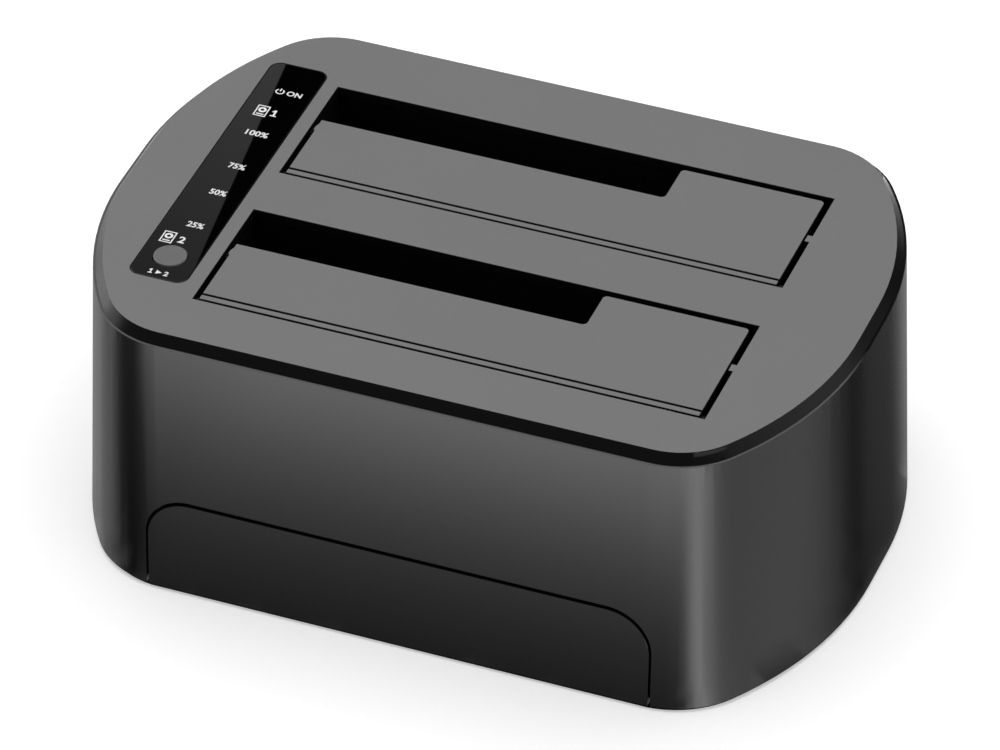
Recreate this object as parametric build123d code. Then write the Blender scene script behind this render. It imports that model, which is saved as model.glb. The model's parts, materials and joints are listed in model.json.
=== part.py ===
from build123d import *
import os
from math import atan, atan2, degrees, radians, sin, sqrt

# Twin-bay hard drive docking station.
# The origin is on the ground under the middle of the case, +X to the right, +Y to the back, +Z up.

# Drives that the bays are made for
drive_width = 101.6
drive_thickness = 26.1
small_drive_width = 69.85
small_drive_thickness = 9.5

# Case
case_height = 59.4
foot_lift = 1.0
end_flat_half = 5.6
end_radius = 68.6
corner_radius = 15.7
rim_width = 1.5
rim_height = 2.0
rim_ledge = 0.45
bottom_flare = 2.0
wall = 2.2
seam_height = 0.15
seam_depth = 0.6
lip_thickness = 1.2
lip_depth = 3.0
seat_clearance = 0.15
cut_over = 1.0

# Slots in the top cover, and the room that is kept round them
drive_side_clearance = 1.4
drive_face_clearance = 1.3
slot_bridge = 13.08
left_margin = 12.1
panel_to_slot = 3.3
ear_wall_gap = 2.29
boss_well_gap = 4.55
port_well_gap = 0.99

# Flap hinge
hinge_gap = 0.42
hinge_strip = 1.39
hinge_groove = 0.45
groove_depth = 0.45
hinge_drop = 1.6
barrel_radius = 1.3
pin_radius = 0.6
pin_running_gap = 0.07
pin_seat_gap = 0.03
pin_seat_length = 3.7
pin_seat_wall = 1.25
pin_seat_height = 1.7
pin_end_gap = 0.4

# Flap plate
flap_thickness = 1.8
flap_left_gap = 1.1
flap_right_gap = 1.3
flap_back_gap = 1.45
flap_corner = 1.0
notch_side_gap = 3.45
notch_face_gap = 1.97
side_bump_reach = 0.35
side_bump_length = 2.6
side_bump_from_notch = 1.3
flap_rib = 1.0
flap_rib_depth = 1.3
flap_rib_inset = 1.2
moving_gap = 0.3

# Stops that hold a closed flap level
nub_length = 2.2
nub_reach = 1.0
nub_height = 1.6
nub_from_back = 14.05
left_nub_reach = 0.45
left_nub_drop = 1.0
tab_overhang = 0.4

# Flap return spring
spring_wire = 0.35
spring_radius = 0.95
spring_turns = 5
spring_pitch = 0.8
spring_from_end = 5.0
spring_leg = 5.0
spring_short_leg = 1.3
spring_skin = 0.3
spring_end_gap = 0.35
spring_seat_width = 1.4
spring_stop_gap = 0.2
spring_stop_height = 0.8

# Drive cradle
well_gap = 0.3
well_wall = 1.6
well_floor = 1.6
guide_width = 2.0
guide_height = 15.0
guide_lead = 3.0
guide_from_end = 20.0
web_thickness = 1.6
web_low = 9.0
web_high = 12.0
ear_reach = 4.0
ear_half_width = 4.0
ear_thickness = 2.0
ear_drop = 6.0
ear_from_middle = 35.0

# Base tray
base_plate = 2.0
ledge_width = 1.2
ledge_height = 1.4
tongue_end_inset = 23.35
tongue_x = -0.4
tongue_height = 21.2
tongue_corner = 9.0
tongue_top_groove = 0.85
tongue_side_groove = 0.48
tongue_lap = 2.0
tongue_lap_thickness = 1.2
foot_radius = 5.0
foot_recess = 0.8
foot_end_inset = 19.4
foot_side_inset = 15.6
foot_edge = 0.5
vent_width = 2.0
vent_length = 16.0
vent_pitch = 6.0
vent_count = 12
vent_row_spread = 17.0

# Fasteners
screw_radius = 1.25
screw_head_radius = 2.5
screw_head_height = 1.6
screw_recess_radius = 0.8
screw_recess_depth = 0.9
pilot_gap = 0.05
hole_gap = 0.35
head_gap = 0.5
boss_radius = 3.0
case_screw_length = 11.0
case_screw_pad = 2.5
case_screw_bite = 8.5
case_boss_left_inset = 8.0
case_boss_left_y = 21.0
case_boss_right_inset = 8.4
case_boss_right_y = 22.0
short_screw_length = 6.0

# Main board and what it carries
board_thickness = 1.6
board_standoff = 3.0
board_past_slot = 1.8
board_past_front = 3.475
board_back_gap = 2.1
board_wall_gap = 0.5
board_corner = 3.0
board_screw_inset = 4.2

socket_from_left = 45.2
socket_from_back = 5.0
socket_length = 44.0
socket_base_depth = 6.2
socket_shoulder = 5.4
socket_nose_length = 38.6
socket_nose_depth = 4.8
socket_nose_height = 5.0
socket_hole_gap = 0.4
power_slot_length = 21.2
signal_slot_length = 10.8
slot_rib = 2.2
blade_slot_width = 1.5
blade_slot_depth = 4.3
contact_pitch = 1.27
contact_width = 0.6
contact_thickness = 0.25
power_contacts = 15
signal_contacts = 7

usb_x = -8.0
usb_width = 12.0
usb_height = 12.6
usb_depth = 16.6
usb_shell = 0.5
usb_lower_width = 8.6
usb_lower_height = 7.9
usb_upper_width = 6.2
usb_upper_height = 3.0
usb_bevel = 1.4
usb_cavity_depth = 9.0
usb_tongue_width = 5.6
usb_tongue_height = 3.1
usb_tongue_length = 8.0
usb_upper_tongue_height = 1.0

jack_x = -34.0
jack_width = 9.0
jack_height = 11.0
jack_depth = 14.0
jack_bore = 3.15
jack_bore_depth = 9.6
jack_pin_radius = 1.25
jack_pin_length = 9.0
jack_axis_height = 6.5
jack_pin_tip = 0.5

switch_x = 30.0
switch_width = 15.0
switch_height = 10.5
switch_depth = 12.0
switch_frame = 1.2
rocker_gap = 0.3
rocker_tilt = 9.0
switch_recess = 1.2
rocker_proud = 0.8
rocker_well_depth = 6.0
rocker_pivot_depth = 4.2
rocker_pivot_radius = 0.8
rocker_pivot_length = 0.6
rocker_pivot_gap = 0.06
rocker_root = 3.4
port_recess = 0.5
port_gap = 0.3
port_panel_end_inset = 29.4
port_panel_low = 4.6
port_panel_high = 24.0
port_panel_corner = 3.0
port_panel_depth = 0.6

# Indicator panel
lens_width = 11.9
lens_front_margin = 15.7
lens_back_margin = 12.9
lens_corner = 2.2
lens_thickness = 1.2
lens_gap = 0.1
window_width = 4.6
window_length = 2.0
button_from_front = 7.3
button_radius = 3.3
button_gap = 0.2
button_proud = 0.35
button_edge = 0.2
button_flange = 0.5
button_flange_height = 1.0
button_travel = 0.4
guide_block_height = 4.0
guide_block_width = 10.6
guide_block_wall = 0.6
panel_board_width = 11.6
panel_board_thickness = 1.2
panel_board_over = 5.6
panel_board_corner = 2.5
panel_boss_radius = 2.4
panel_screw_inset = 2.8
led_width = 3.0
led_length = 1.4
led_height = 1.1
tact_size = 6.0
tact_height = 1.8
plunger_radius = 1.6
plunger_gap = 0.1
plunger_depth = 0.4

# Ribbon between the two boards
header_length = 10.0
header_width = 3.4
header_height = 3.0
ribbon_y = 9.5
ribbon_width = 8.0
ribbon_thickness = 0.5
ribbon_bend = 6.0
ribbon_entry = 2.0
board_header_inset = 2.2
ribbon_well_gap = 2.1

# Parts on the main board
chip_size = 12.0
chip_height = 1.2
memory_length = 6.0
memory_width = 5.0
memory_height = 1.5
coil_size = 7.0
coil_height = 3.0
coil_corner = 1.5
small_capacitor_radius = 2.5
small_capacitor_height = 7.0
large_capacitor_radius = 4.0
large_capacitor_height = 9.0
capacitor_groove = 0.3
crystal_length = 10.5
crystal_width = 4.4
crystal_height = 3.2
regulator_length = 6.5
regulator_width = 6.0
regulator_height = 2.2

# Places along the indicator panel, as shares of its length from the front end
light_shares = [0.884, 0.782, 0.680, 0.530, 0.402, 0.247, 0.174]

# Points of the bump on a flap's left edge, as shares of its reach and of its length from the front
side_bump_shares = [(0, 0), (1, 0.2), (1, 0.6), (0, 1)]

# Radius of a fully rounded end, as a share of the width
round_end_share = 0.49

# Levels and edges that follow from the sizes above
cover_plate = rim_height + seam_height
skin_grow = rim_width + rim_ledge
case_bottom = foot_lift
case_top = foot_lift + case_height
cover_under = case_top - cover_plate
shell_height = cover_under - case_bottom
base_top = case_bottom + base_plate
board_under = base_top + board_standoff
board_top = board_under + board_thickness
drive_seat = board_top + socket_shoulder

slot_length = drive_width + 2 * drive_side_clearance
slot_depth = drive_thickness + drive_face_clearance + hinge_gap + barrel_radius + hinge_drop
slot_pitch = slot_depth + slot_bridge

# Margins round the slots, wide enough for the cradle's ears, the case screws and the sockets at the back
well_side = well_gap + well_wall
front_margin = well_side + ear_reach + ear_half_width + ear_wall_gap
right_margin = well_side + boss_well_gap + boss_radius + screw_radius + case_boss_right_inset
port_overhang = skin_grow + bottom_flare * (cover_under - board_top - usb_height / 2) / shell_height
back_margin = well_side + port_well_gap + usb_depth + port_recess - port_overhang
top_half_length = (left_margin + lens_width + panel_to_slot + slot_length + right_margin) / 2
top_half_depth = (front_margin + slot_depth + slot_pitch + back_margin) / 2
slot_right = top_half_length - right_margin
slot_left = slot_right - slot_length
slot_centre_x = (slot_left + slot_right) / 2
bay_centre_y = (front_margin - back_margin) / 2
bay_centres = {"rear": bay_centre_y + slot_pitch / 2, "front": bay_centre_y - slot_pitch / 2}
tongue_half_width = top_half_length - tongue_end_inset
port_panel_half = top_half_length - port_panel_end_inset
lens_x = slot_left - panel_to_slot - lens_width / 2
lens_length = 2 * top_half_depth - lens_front_margin - lens_back_margin
lens_y = (lens_front_margin - lens_back_margin) / 2

flap_left = slot_left + flap_left_gap
flap_right = slot_right - flap_right_gap
notch_right = slot_left + small_drive_width + notch_side_gap
notch_depth = small_drive_thickness + notch_face_gap
hinge_z = case_top - hinge_drop
hinge_from_front = hinge_gap + barrel_radius
spring_length = spring_turns * spring_pitch
spring_right = flap_right - spring_from_end
spring_left = spring_right - spring_length

well_left = slot_left - well_gap
well_right = slot_right + well_gap
board_header_x = slot_left - well_side - ribbon_well_gap
board_left = board_header_x - board_header_inset
board_right = slot_right + board_past_slot
board_front = bay_centres["front"] - slot_depth / 2 - board_past_front
board_back = top_half_depth - board_back_gap
panel_board_top = cover_under - guide_block_height
panel_board_under = panel_board_top - panel_board_thickness
lens_front = lens_y - lens_length / 2
button_y = lens_front + button_from_front
light_places = [lens_front + share * lens_length for share in light_shares]
case_boss_left_x = case_boss_left_inset - top_half_length
case_boss_right_x = top_half_length - case_boss_right_inset
case_bosses = [(case_boss_left_x, -case_boss_left_y), (case_boss_left_x, case_boss_left_y),
               (case_boss_right_x, -case_boss_right_y), (case_boss_right_x, case_boss_right_y)]
panel_bosses = [(lens_x, lens_y + end * (lens_length / 2 + panel_board_over - panel_screw_inset))
                for end in (-1, 1)]
board_screws = [(x, y) for x in (board_left + board_screw_inset, board_right - board_screw_inset)
                for y in (board_front + board_screw_inset, board_back - board_screw_inset)]


# Shapes that several pieces share

def block(left, right, front, back, low, high):
    # A box between six planes.
    middle = Pos((left + right) / 2, (front + back) / 2, (low + high) / 2)
    return middle * Box(right - left, back - front, high - low)


def post(x, y, low, high, radius):
    return Pos(x, y, (low + high) / 2) * Cylinder(radius, high - low)


def rod(x_from, x_to, y, z, radius):
    # A round bar along X.
    return Pos((x_from + x_to) / 2, y, z) * Rot(0, 90, 0) * Cylinder(radius, x_to - x_from)


def rounded_block(x, y, low, length, width, height, radius):
    # A plate standing on the level low, with its upright edges rounded.
    return Pos(x, y, low) * extrude(RectangleRounded(length, width, radius), height)


def group(pieces):
    # Separate solids that share one node.
    return Compound(children=list(pieces))


def outline(grow):
    # The case from above: flat front and back, bowed ends, round corners, all tangent.
    end_x = top_half_length - end_radius
    corner_y = top_half_depth - corner_radius
    rise = corner_y - end_flat_half
    corner_x = end_x + sqrt((end_radius - corner_radius) ** 2 - rise ** 2)
    join = degrees(atan2(rise, corner_x - end_x))
    half_length = top_half_length + grow
    half_depth = top_half_depth + grow
    quarter = Curve() + [
        CenterArc((end_x, end_flat_half), end_radius + grow, 0, join),
        CenterArc((corner_x, corner_y), corner_radius + grow, join, 90 - join),
    ]
    half = quarter + mirror(quarter, Plane.YZ)
    sides = [Line((side * half_length, -end_flat_half), (side * half_length, end_flat_half))
             for side in (-1, 1)]
    faces = [Line((-corner_x, side * half_depth), (corner_x, side * half_depth)) for side in (-1, 1)]
    return make_face(half + mirror(half, Plane.XZ) + sides + faces)


def case_grow(z):
    # How far the case's skin stands outside the top face's edge at the height z.
    return skin_grow + bottom_flare * (cover_under - z) / shell_height


def case_block(low, high, inset):
    # The case filled solid between two levels, with its skin moved inwards by inset.
    draft = degrees(atan(bottom_flare / shell_height))
    return Pos(0, 0, low) * extrude(outline(case_grow(low) - inset), high - low, taper=draft)


def case_band(low, high, outer_inset, inner_inset):
    return case_block(low, high, outer_inset) - case_block(low - cut_over, high + cut_over, inner_inset)


def skin_y(z):
    # Where the back of the case is at the height z.
    return top_half_depth + case_grow(z)


def slot_front(bay):
    return bay_centres[bay] - slot_depth / 2


def slot_back(bay):
    return bay_centres[bay] + slot_depth / 2


def screw(x, y, seat, length, up):
    # A pan-head screw whose head bears on the level seat; up is 1 when it drives upwards.
    head = post(x, y, seat - screw_head_height, seat, screw_head_radius)
    head = fillet(head.edges().group_by(Axis.Z)[0], screw_head_height / 3)
    shank = post(x, y, seat, seat + length, screw_radius)
    shank = chamfer(shank.edges().group_by(Axis.Z)[-1], screw_radius / 3)
    bottom = seat - screw_head_height
    recess = block(x - screw_recess_radius * 1.5, x + screw_recess_radius * 1.5,
                   y - screw_recess_radius / 2, y + screw_recess_radius / 2,
                   bottom, bottom + screw_recess_depth)
    cross = recess + Pos(x, y, 0) * Rot(0, 0, 90) * Pos(-x, -y, 0) * recess
    whole = head + shank - cross
    if up > 0:
        return whole
    return Pos(0, 0, seat) * mirror(Pos(0, 0, -seat) * whole, Plane.XY)


# Casing

def pin_seat(bay, side):
    # Boss under the cover at one end of a slot; the hinge pin lies in its open groove.
    y = slot_front(bay) + hinge_from_front
    half = pin_radius + pin_seat_wall
    low = cover_under - pin_seat_height
    if side < 0:
        return block(slot_left - pin_seat_length, slot_left, y - half, y + half, low, cover_under)
    return block(slot_right, slot_right + pin_seat_length, y - half, y + half, low, cover_under)


def pin_groove(bay):
    # Cut that lets the pin be laid in from below, along both ends of a slot.
    y = slot_front(bay) + hinge_from_front
    radius = pin_radius + pin_seat_gap
    left = slot_left - pin_seat_length + pin_end_gap / 2
    right = slot_right + pin_seat_length - pin_end_gap / 2
    low = cover_under - pin_seat_height - cut_over
    return rod(left, right, y, hinge_z, radius) + block(left, right, y - radius, y + radius, low, hinge_z)


def nub_y(bay):
    return slot_back(bay) - nub_from_back


def make_top_cover():
    rim_taper = degrees(atan(rim_width / rim_height))
    rim = Pos(0, 0, case_top - rim_height) * extrude(outline(rim_width), rim_height, taper=rim_taper)
    step = Pos(0, 0, cover_under) * extrude(outline(rim_width - seam_depth), seam_height)
    lip_outer = wall + seat_clearance
    lip = case_band(cover_under - lip_depth, cover_under, lip_outer, lip_outer + lip_thickness)
    cover = rim + step + lip
    for x, y in case_bosses:
        cover += post(x, y, base_top + case_screw_pad, cover_under, boss_radius)
    for x, y in ear_places():
        cover += post(x, y, cover_under - ear_drop, cover_under, boss_radius)
    for x, y in panel_bosses:
        cover += post(x, y, panel_board_top, cover_under, panel_boss_radius)
    for bay in bay_centres:
        cover += pin_seat(bay, -1) + pin_seat(bay, 1)
    for bay in bay_centres:
        cover -= block(slot_left, slot_right, slot_front(bay), slot_back(bay),
                       cover_under - cut_over, case_top + cut_over)
        cover -= pin_groove(bay)
        y = nub_y(bay)
        cover += block(slot_right - nub_reach, slot_right, y - nub_length / 2, y + nub_length / 2,
                       case_top - nub_height, case_top)
        cover += block(slot_left, slot_left + left_nub_reach, y - nub_length / 2, y + nub_length / 2,
                       case_top - nub_height, case_top - left_nub_drop)
    cover -= rounded_block(lens_x, lens_y, case_top - lens_thickness, lens_width + 2 * lens_gap,
                           lens_length + 2 * lens_gap, lens_thickness + cut_over, lens_corner + lens_gap)
    for y in light_places:
        cover -= block(lens_x - window_width / 2, lens_x + window_width / 2,
                       y - window_length / 2, y + window_length / 2, cover_under - cut_over, case_top)
    cover -= post(lens_x, button_y, cover_under - cut_over, case_top, button_radius + button_gap)
    pilot = screw_radius + pilot_gap
    for x, y in case_bosses:
        low = base_top + case_screw_pad
        cover -= post(x, y, low - cut_over, low + case_screw_bite + cut_over, pilot)
    for x, y in ear_places():
        cover -= post(x, y, cover_under - ear_drop - cut_over, cover_under - seam_height, pilot)
    for x, y in panel_bosses:
        cover -= post(x, y, panel_board_top - cut_over, cover_under - seam_height, pilot)
    return cover


def tongue_prism(side_grow, top_grow):
    # The front tongue's outline, grown outwards, pushed through the front half of the case.
    # Its round lower corners lie below the case, so only the upper ones show.
    height = tongue_height + top_grow
    depth = top_half_depth + skin_grow + bottom_flare + cut_over
    profile = RectangleRounded(2 * (tongue_half_width + side_grow), 2 * height, tongue_corner + side_grow)
    return extrude(Plane.XZ * Pos(tongue_x, case_bottom) * profile, depth)


def port_openings():
    # Cuts through the back wall for the sockets and the switch.
    inside = skin_y(cover_under) - wall - cut_over
    outside = skin_y(case_bottom) + cut_over
    ports = [(usb_x, usb_width, usb_height), (jack_x, jack_width, jack_height),
             (switch_x, switch_width, switch_height)]
    cuts = [block(x - width / 2 - port_gap, x + width / 2 + port_gap, inside, outside,
                  board_top - port_gap, board_top + height + port_gap) for x, width, height in ports]
    return cuts


def make_body_shell():
    shell = case_band(case_bottom, cover_under, 0, wall)
    ledge = case_band(base_top, base_top + ledge_height, wall - seat_clearance, wall + ledge_width)
    clear = tongue_half_width + tongue_lap + 2 * seat_clearance
    ledge -= block(tongue_x - clear, tongue_x + clear, -2 * top_half_depth, 0, case_bottom, case_top)
    shell += ledge
    shell -= tongue_prism(tongue_side_groove / 2, tongue_top_groove / 2)
    panel_height = port_panel_high - port_panel_low
    face = Plane.XZ * Pos(0, (port_panel_low + port_panel_high) / 2) \
        * RectangleRounded(2 * port_panel_half, panel_height, port_panel_corner)
    panel = extrude(face, -2 * top_half_depth)
    shell -= panel & case_band(case_bottom, cover_under, -cut_over, port_panel_depth)
    for cut in port_openings():
        shell -= cut
    return shell


def make_base_tray():
    plate = case_block(case_bottom, base_top, wall + seat_clearance)
    lap_outer = wall + seat_clearance
    lap_inner = lap_outer + tongue_lap_thickness
    tongue = case_band(case_bottom, cover_under, 0, lap_inner) \
        & tongue_prism(-tongue_side_groove / 2, -tongue_top_groove / 2)
    lap = case_band(case_bottom, cover_under, lap_outer, lap_inner) & tongue_prism(tongue_lap, tongue_lap)
    tray = plate + tongue + lap
    for x, y in case_bosses:
        tray += post(x, y, base_top, base_top + case_screw_pad, boss_radius + screw_radius)
    for x, y in board_screws:
        tray += post(x, y, base_top, board_under, boss_radius)
    for x, y in case_bosses:
        top = base_top + case_screw_pad
        seat = case_seat()
        tray -= post(x, y, case_bottom - cut_over, top + cut_over, screw_radius + hole_gap)
        tray -= post(x, y, case_bottom - cut_over, seat, screw_head_radius + head_gap)
    for x, y in board_screws:
        tray -= post(x, y, base_top - base_plate / 2, board_under + cut_over, screw_radius + pilot_gap)
    for x, y in foot_places():
        tray -= post(x, y, case_bottom - cut_over, case_bottom + foot_recess, foot_radius + seat_clearance)
    for row in (-1, 1):
        for number in range(vent_count):
            x = slot_centre_x + (number - (vent_count - 1) / 2) * vent_pitch
            tray -= rounded_block(x, row * vent_row_spread, case_bottom - cut_over, vent_width, vent_length,
                                  base_plate + 2 * cut_over, vent_width * round_end_share)
    return tray


def case_seat():
    # Level inside the base's counterbores where a case screw's head bears.
    return base_top + case_screw_pad - (case_screw_length - case_screw_bite)


def foot_places():
    half_x = top_half_length - foot_end_inset
    half_y = top_half_depth - foot_side_inset
    return [(x, y) for x in (-half_x, half_x) for y in (-half_y, half_y)]


def make_feet():
    feet = []
    for x, y in foot_places():
        foot = post(x, y, 0, case_bottom + foot_recess, foot_radius)
        feet.append(fillet(foot.edges().group_by(Axis.Z)[0], foot_edge))
    return group(feet)


# Flaps and their hinges

def make_flap(bay):
    front = slot_front(bay) + hinge_gap
    axis_y = slot_front(bay) + hinge_from_front
    back = slot_back(bay) - flap_back_gap
    notch_edge = slot_back(bay) - notch_depth
    under = case_top - flap_thickness
    bump_start = notch_edge - side_bump_from_notch - side_bump_length
    bump = [(flap_left - across * side_bump_reach, bump_start + along * side_bump_length)
            for across, along in side_bump_shares]
    corners = [(flap_left, axis_y), *bump, (flap_left, notch_edge), (notch_right, notch_edge),
               (notch_right, back), (flap_right, back), (flap_right, axis_y)]
    sheet = make_face(Polyline(*corners, close=True))
    rounds = [vertex for vertex in sheet.vertices()
              if vertex.X > notch_right - flap_corner and vertex.Y > notch_edge - flap_corner]
    sheet = fillet(rounds, flap_corner)
    flap = Pos(0, 0, under) * extrude(sheet, flap_thickness)
    flap += block(flap_left, flap_right, front, axis_y, case_top - hinge_drop, case_top)
    flap += rod(flap_left, flap_right, axis_y, hinge_z, barrel_radius)
    groove_front = front + hinge_strip
    flap -= block(flap_left - cut_over, flap_right + cut_over, groove_front, groove_front + hinge_groove,
                  case_top - groove_depth, case_top + cut_over)
    flap += flap_ribs(bay, under)
    flap += stop_tabs(bay, under)
    spring_pad_top = hinge_z - spring_radius + spring_wire / 2
    pad_right = spring_right + spring_seat_width / 2
    flap += block(pad_right - spring_seat_width, pad_right, axis_y + spring_leg - spring_seat_width,
                  axis_y + spring_leg, spring_pad_top, under)
    window_left = spring_left - spring_end_gap
    window_right = spring_right + spring_end_gap
    flap -= block(window_left, window_right, front - cut_over, axis_y + barrel_radius,
                  hinge_z - barrel_radius - cut_over, case_top - spring_skin)
    flap -= rod(flap_left - cut_over, flap_right + cut_over, axis_y, hinge_z, pin_radius + pin_running_gap)
    return flap


def flap_ribs(bay, under):
    # Stiffening ribs under the plate, set in from its edges.
    axis_y = slot_front(bay) + hinge_from_front
    notch_edge = slot_back(bay) - notch_depth
    back = slot_back(bay) - flap_back_gap
    low = under - flap_rib_depth
    start = axis_y + 3 * barrel_radius
    left = flap_left + flap_rib_inset
    right = flap_right - flap_rib_inset
    ribs = block(left, left + flap_rib, start, notch_edge - flap_rib_inset, low, under)
    ribs += block(left, notch_right + flap_rib_inset + flap_rib, notch_edge - flap_rib_inset - flap_rib,
                  notch_edge - flap_rib_inset, low, under)
    ribs += block(notch_right + flap_rib_inset, notch_right + flap_rib_inset + flap_rib,
                  notch_edge - flap_rib_inset, back - flap_rib_inset, low, under)
    ribs += block(notch_right + flap_rib_inset, right, back - flap_rib_inset - flap_rib,
                  back - flap_rib_inset, low, under)
    ribs += block(right - flap_rib, right, start, back - flap_rib_inset, low, under)
    return ribs


def stop_tabs(bay, under):
    # Tabs at both ends of the flap that come to rest under the cover's nubs.
    y = nub_y(bay)
    half = nub_length / 2 + tab_overhang
    top = case_top - nub_height - moving_gap
    low = under - flap_rib_depth
    right = block(flap_right - flap_rib_inset - flap_rib,
                  flap_right + flap_right_gap - nub_reach + moving_gap,
                  y - half, y + half, low, top)
    left = block(slot_left + moving_gap, flap_left + flap_rib_inset + flap_rib,
                 y - half, y + half, low, top)
    return right + left


def make_flap_pin(bay):
    y = slot_front(bay) + hinge_from_front
    left = slot_left - pin_seat_length + pin_end_gap
    right = slot_right + pin_seat_length - pin_end_gap
    pin = rod(left, right, y, hinge_z, pin_radius)
    return chamfer(pin.edges().filter_by(GeomType.CIRCLE), pin_radius / 4)


def make_flap_spring(bay):
    # A wound wire: a short leg to the front, the coil round the pin and a long leg under the plate.
    y = slot_front(bay) + hinge_from_front
    coil = Helix(spring_pitch, spring_length, spring_radius)
    start, finish = coil @ 0, coil @ 1
    start_way, finish_way = coil % 0, coil % 1
    lead_in = Line(start - start_way * spring_short_leg, start)
    lead_out = Line(finish, finish + finish_way * spring_leg)
    path = Wire([lead_in, coil, lead_out])
    section = Plane(origin=path @ 0, z_dir=path % 0) * Circle(spring_wire / 2)
    wound = sweep(section, path, is_frenet=True)
    return Pos(spring_left, y, hinge_z) * Rot(0, 90, 0) * wound


# Drive cradle

def ear_places():
    # Where the cradle is screwed up to the cover, outside the wells' front and back walls.
    front = slot_front("front") - well_side - ear_reach
    back = slot_back("rear") + well_side + ear_reach
    return [(slot_centre_x + side * ear_from_middle, y) for side in (-1, 1) for y in (front, back)]


def well(bay):
    # One open-topped box that holds a drive upright.
    front, back = slot_front(bay) - well_gap, slot_back(bay) + well_gap
    outer = block(well_left - well_wall, well_right + well_wall, front - well_wall, back + well_wall,
                  drive_seat - well_floor, cover_under)
    inner = block(well_left, well_right, front, back, drive_seat, cover_under + cut_over)
    return outer - inner


def drive_guides(bay):
    # Ribs low on the front wall that keep a thick drive up against the back wall.
    front = slot_front(bay) - well_gap
    face = slot_back(bay) - drive_thickness - drive_face_clearance
    top = drive_seat + guide_height
    ribs = []
    for x in (slot_left + guide_from_end, slot_centre_x, slot_right - guide_from_end):
        rib = block(x - guide_width / 2, x + guide_width / 2, front, face, drive_seat, top)
        edge = rib.edges().filter_by(Axis.X).sort_by(lambda e: e.center().Y + e.center().Z)[-1]
        ribs.append(chamfer(edge, guide_lead, guide_lead / 2))
    return ribs


def make_drive_cradle():
    cradle = well("front") + well("rear")
    web_front = slot_back("front") + well_side
    web_back = slot_front("rear") - well_side
    for side in (-1, 0, 1):
        x = slot_centre_x + side * ear_from_middle
        cradle += block(x - web_thickness / 2, x + web_thickness / 2, web_front, web_back,
                        drive_seat + web_low, cover_under - web_high)
    for x, y in ear_places():
        low, high = cover_under - ear_drop - ear_thickness, cover_under - ear_drop
        wall_side = y + ear_reach if y < 0 else y - ear_reach
        cradle += block(x - ear_half_width, x + ear_half_width, min(y, wall_side), max(y, wall_side),
                        low, high)
        cradle += post(x, y, low, high, ear_half_width)
        cradle -= post(x, y, low - cut_over, high + cut_over, screw_radius + hole_gap)
    for bay in bay_centres:
        for rib in drive_guides(bay):
            cradle += rib
        axis_y = slot_front(bay) + hinge_from_front
        half = pin_radius + pin_seat_wall + seat_clearance
        notch = block(well_left - well_wall - cut_over, well_right + well_wall + cut_over, axis_y - half,
                      axis_y + half, cover_under - pin_seat_height, cover_under + cut_over)
        cradle -= notch
        stop_top = hinge_z - spring_stop_height
        cradle += block(spring_left, spring_right, slot_front(bay) - well_gap - well_wall / 2,
                        axis_y - spring_short_leg - spring_stop_gap, stop_top - spring_stop_height,
                        stop_top)
        x, y = socket_place(bay)
        cradle -= block(x - socket_length / 2 - socket_hole_gap, x + socket_length / 2 + socket_hole_gap,
                        y - socket_base_depth / 2 - socket_hole_gap,
                        y + socket_base_depth / 2 + socket_hole_gap,
                        drive_seat - well_floor - cut_over, drive_seat + cut_over)
    return cradle


# Main board

def socket_place(bay):
    return slot_left + socket_from_left, slot_back(bay) - socket_from_back


def make_main_board():
    board = rounded_block((board_left + board_right) / 2, (board_front + board_back) / 2, board_under,
                          board_right - board_left, board_back - board_front, board_thickness, board_corner)
    board &= case_block(board_under, board_top, wall + board_wall_gap)
    for x, y in board_screws:
        board -= post(x, y, board_under - cut_over, board_top + cut_over, screw_radius + hole_gap)
    return board


def blade_slots(bay):
    # The two slots in a drive socket, each with the short return that keys the plug.
    x, y = socket_place(bay)
    top = drive_seat + socket_nose_height
    total = power_slot_length + slot_rib + signal_slot_length
    left = x - total / 2
    spans = [(left, left + power_slot_length), (left + power_slot_length + slot_rib, left + total)]
    cuts = []
    for start, end in spans:
        cuts.append(block(start, end, y - blade_slot_width / 2, y + blade_slot_width / 2,
                          top - blade_slot_depth, top + cut_over))
        cuts.append(block(end - blade_slot_width / 2, end, y - blade_slot_width,
                          y - blade_slot_width / 2, top - blade_slot_depth, top + cut_over))
    return cuts


def make_socket(bay):
    x, y = socket_place(bay)
    body = block(x - socket_length / 2, x + socket_length / 2, y - socket_base_depth / 2,
                 y + socket_base_depth / 2, board_top, drive_seat)
    nose = block(x - socket_nose_length / 2, x + socket_nose_length / 2, y - socket_nose_depth / 2,
                 y + socket_nose_depth / 2, drive_seat, drive_seat + socket_nose_height)
    nose = chamfer(nose.edges().group_by(Axis.Z)[-1], socket_nose_depth / 12)
    body += nose
    for cut in blade_slots(bay):
        body -= cut
    return body


def make_contacts(bay):
    x, y = socket_place(bay)
    total = power_slot_length + slot_rib + signal_slot_length
    left = x - total / 2
    low = drive_seat + socket_nose_height - blade_slot_depth
    high = drive_seat + socket_nose_height - contact_width
    back = y + blade_slot_width / 2
    rows = [(left + power_slot_length / 2, power_contacts),
            (left + power_slot_length + slot_rib + signal_slot_length / 2, signal_contacts)]
    blades = []
    for middle, count in rows:
        for number in range(count):
            place = middle + (number - (count - 1) / 2) * contact_pitch
            blades.append(block(place - contact_width / 2, place + contact_width / 2,
                                back - contact_thickness, back, low, high))
    return group(blades)


def usb_face_y():
    return skin_y(board_top + usb_height / 2) - port_recess


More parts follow.
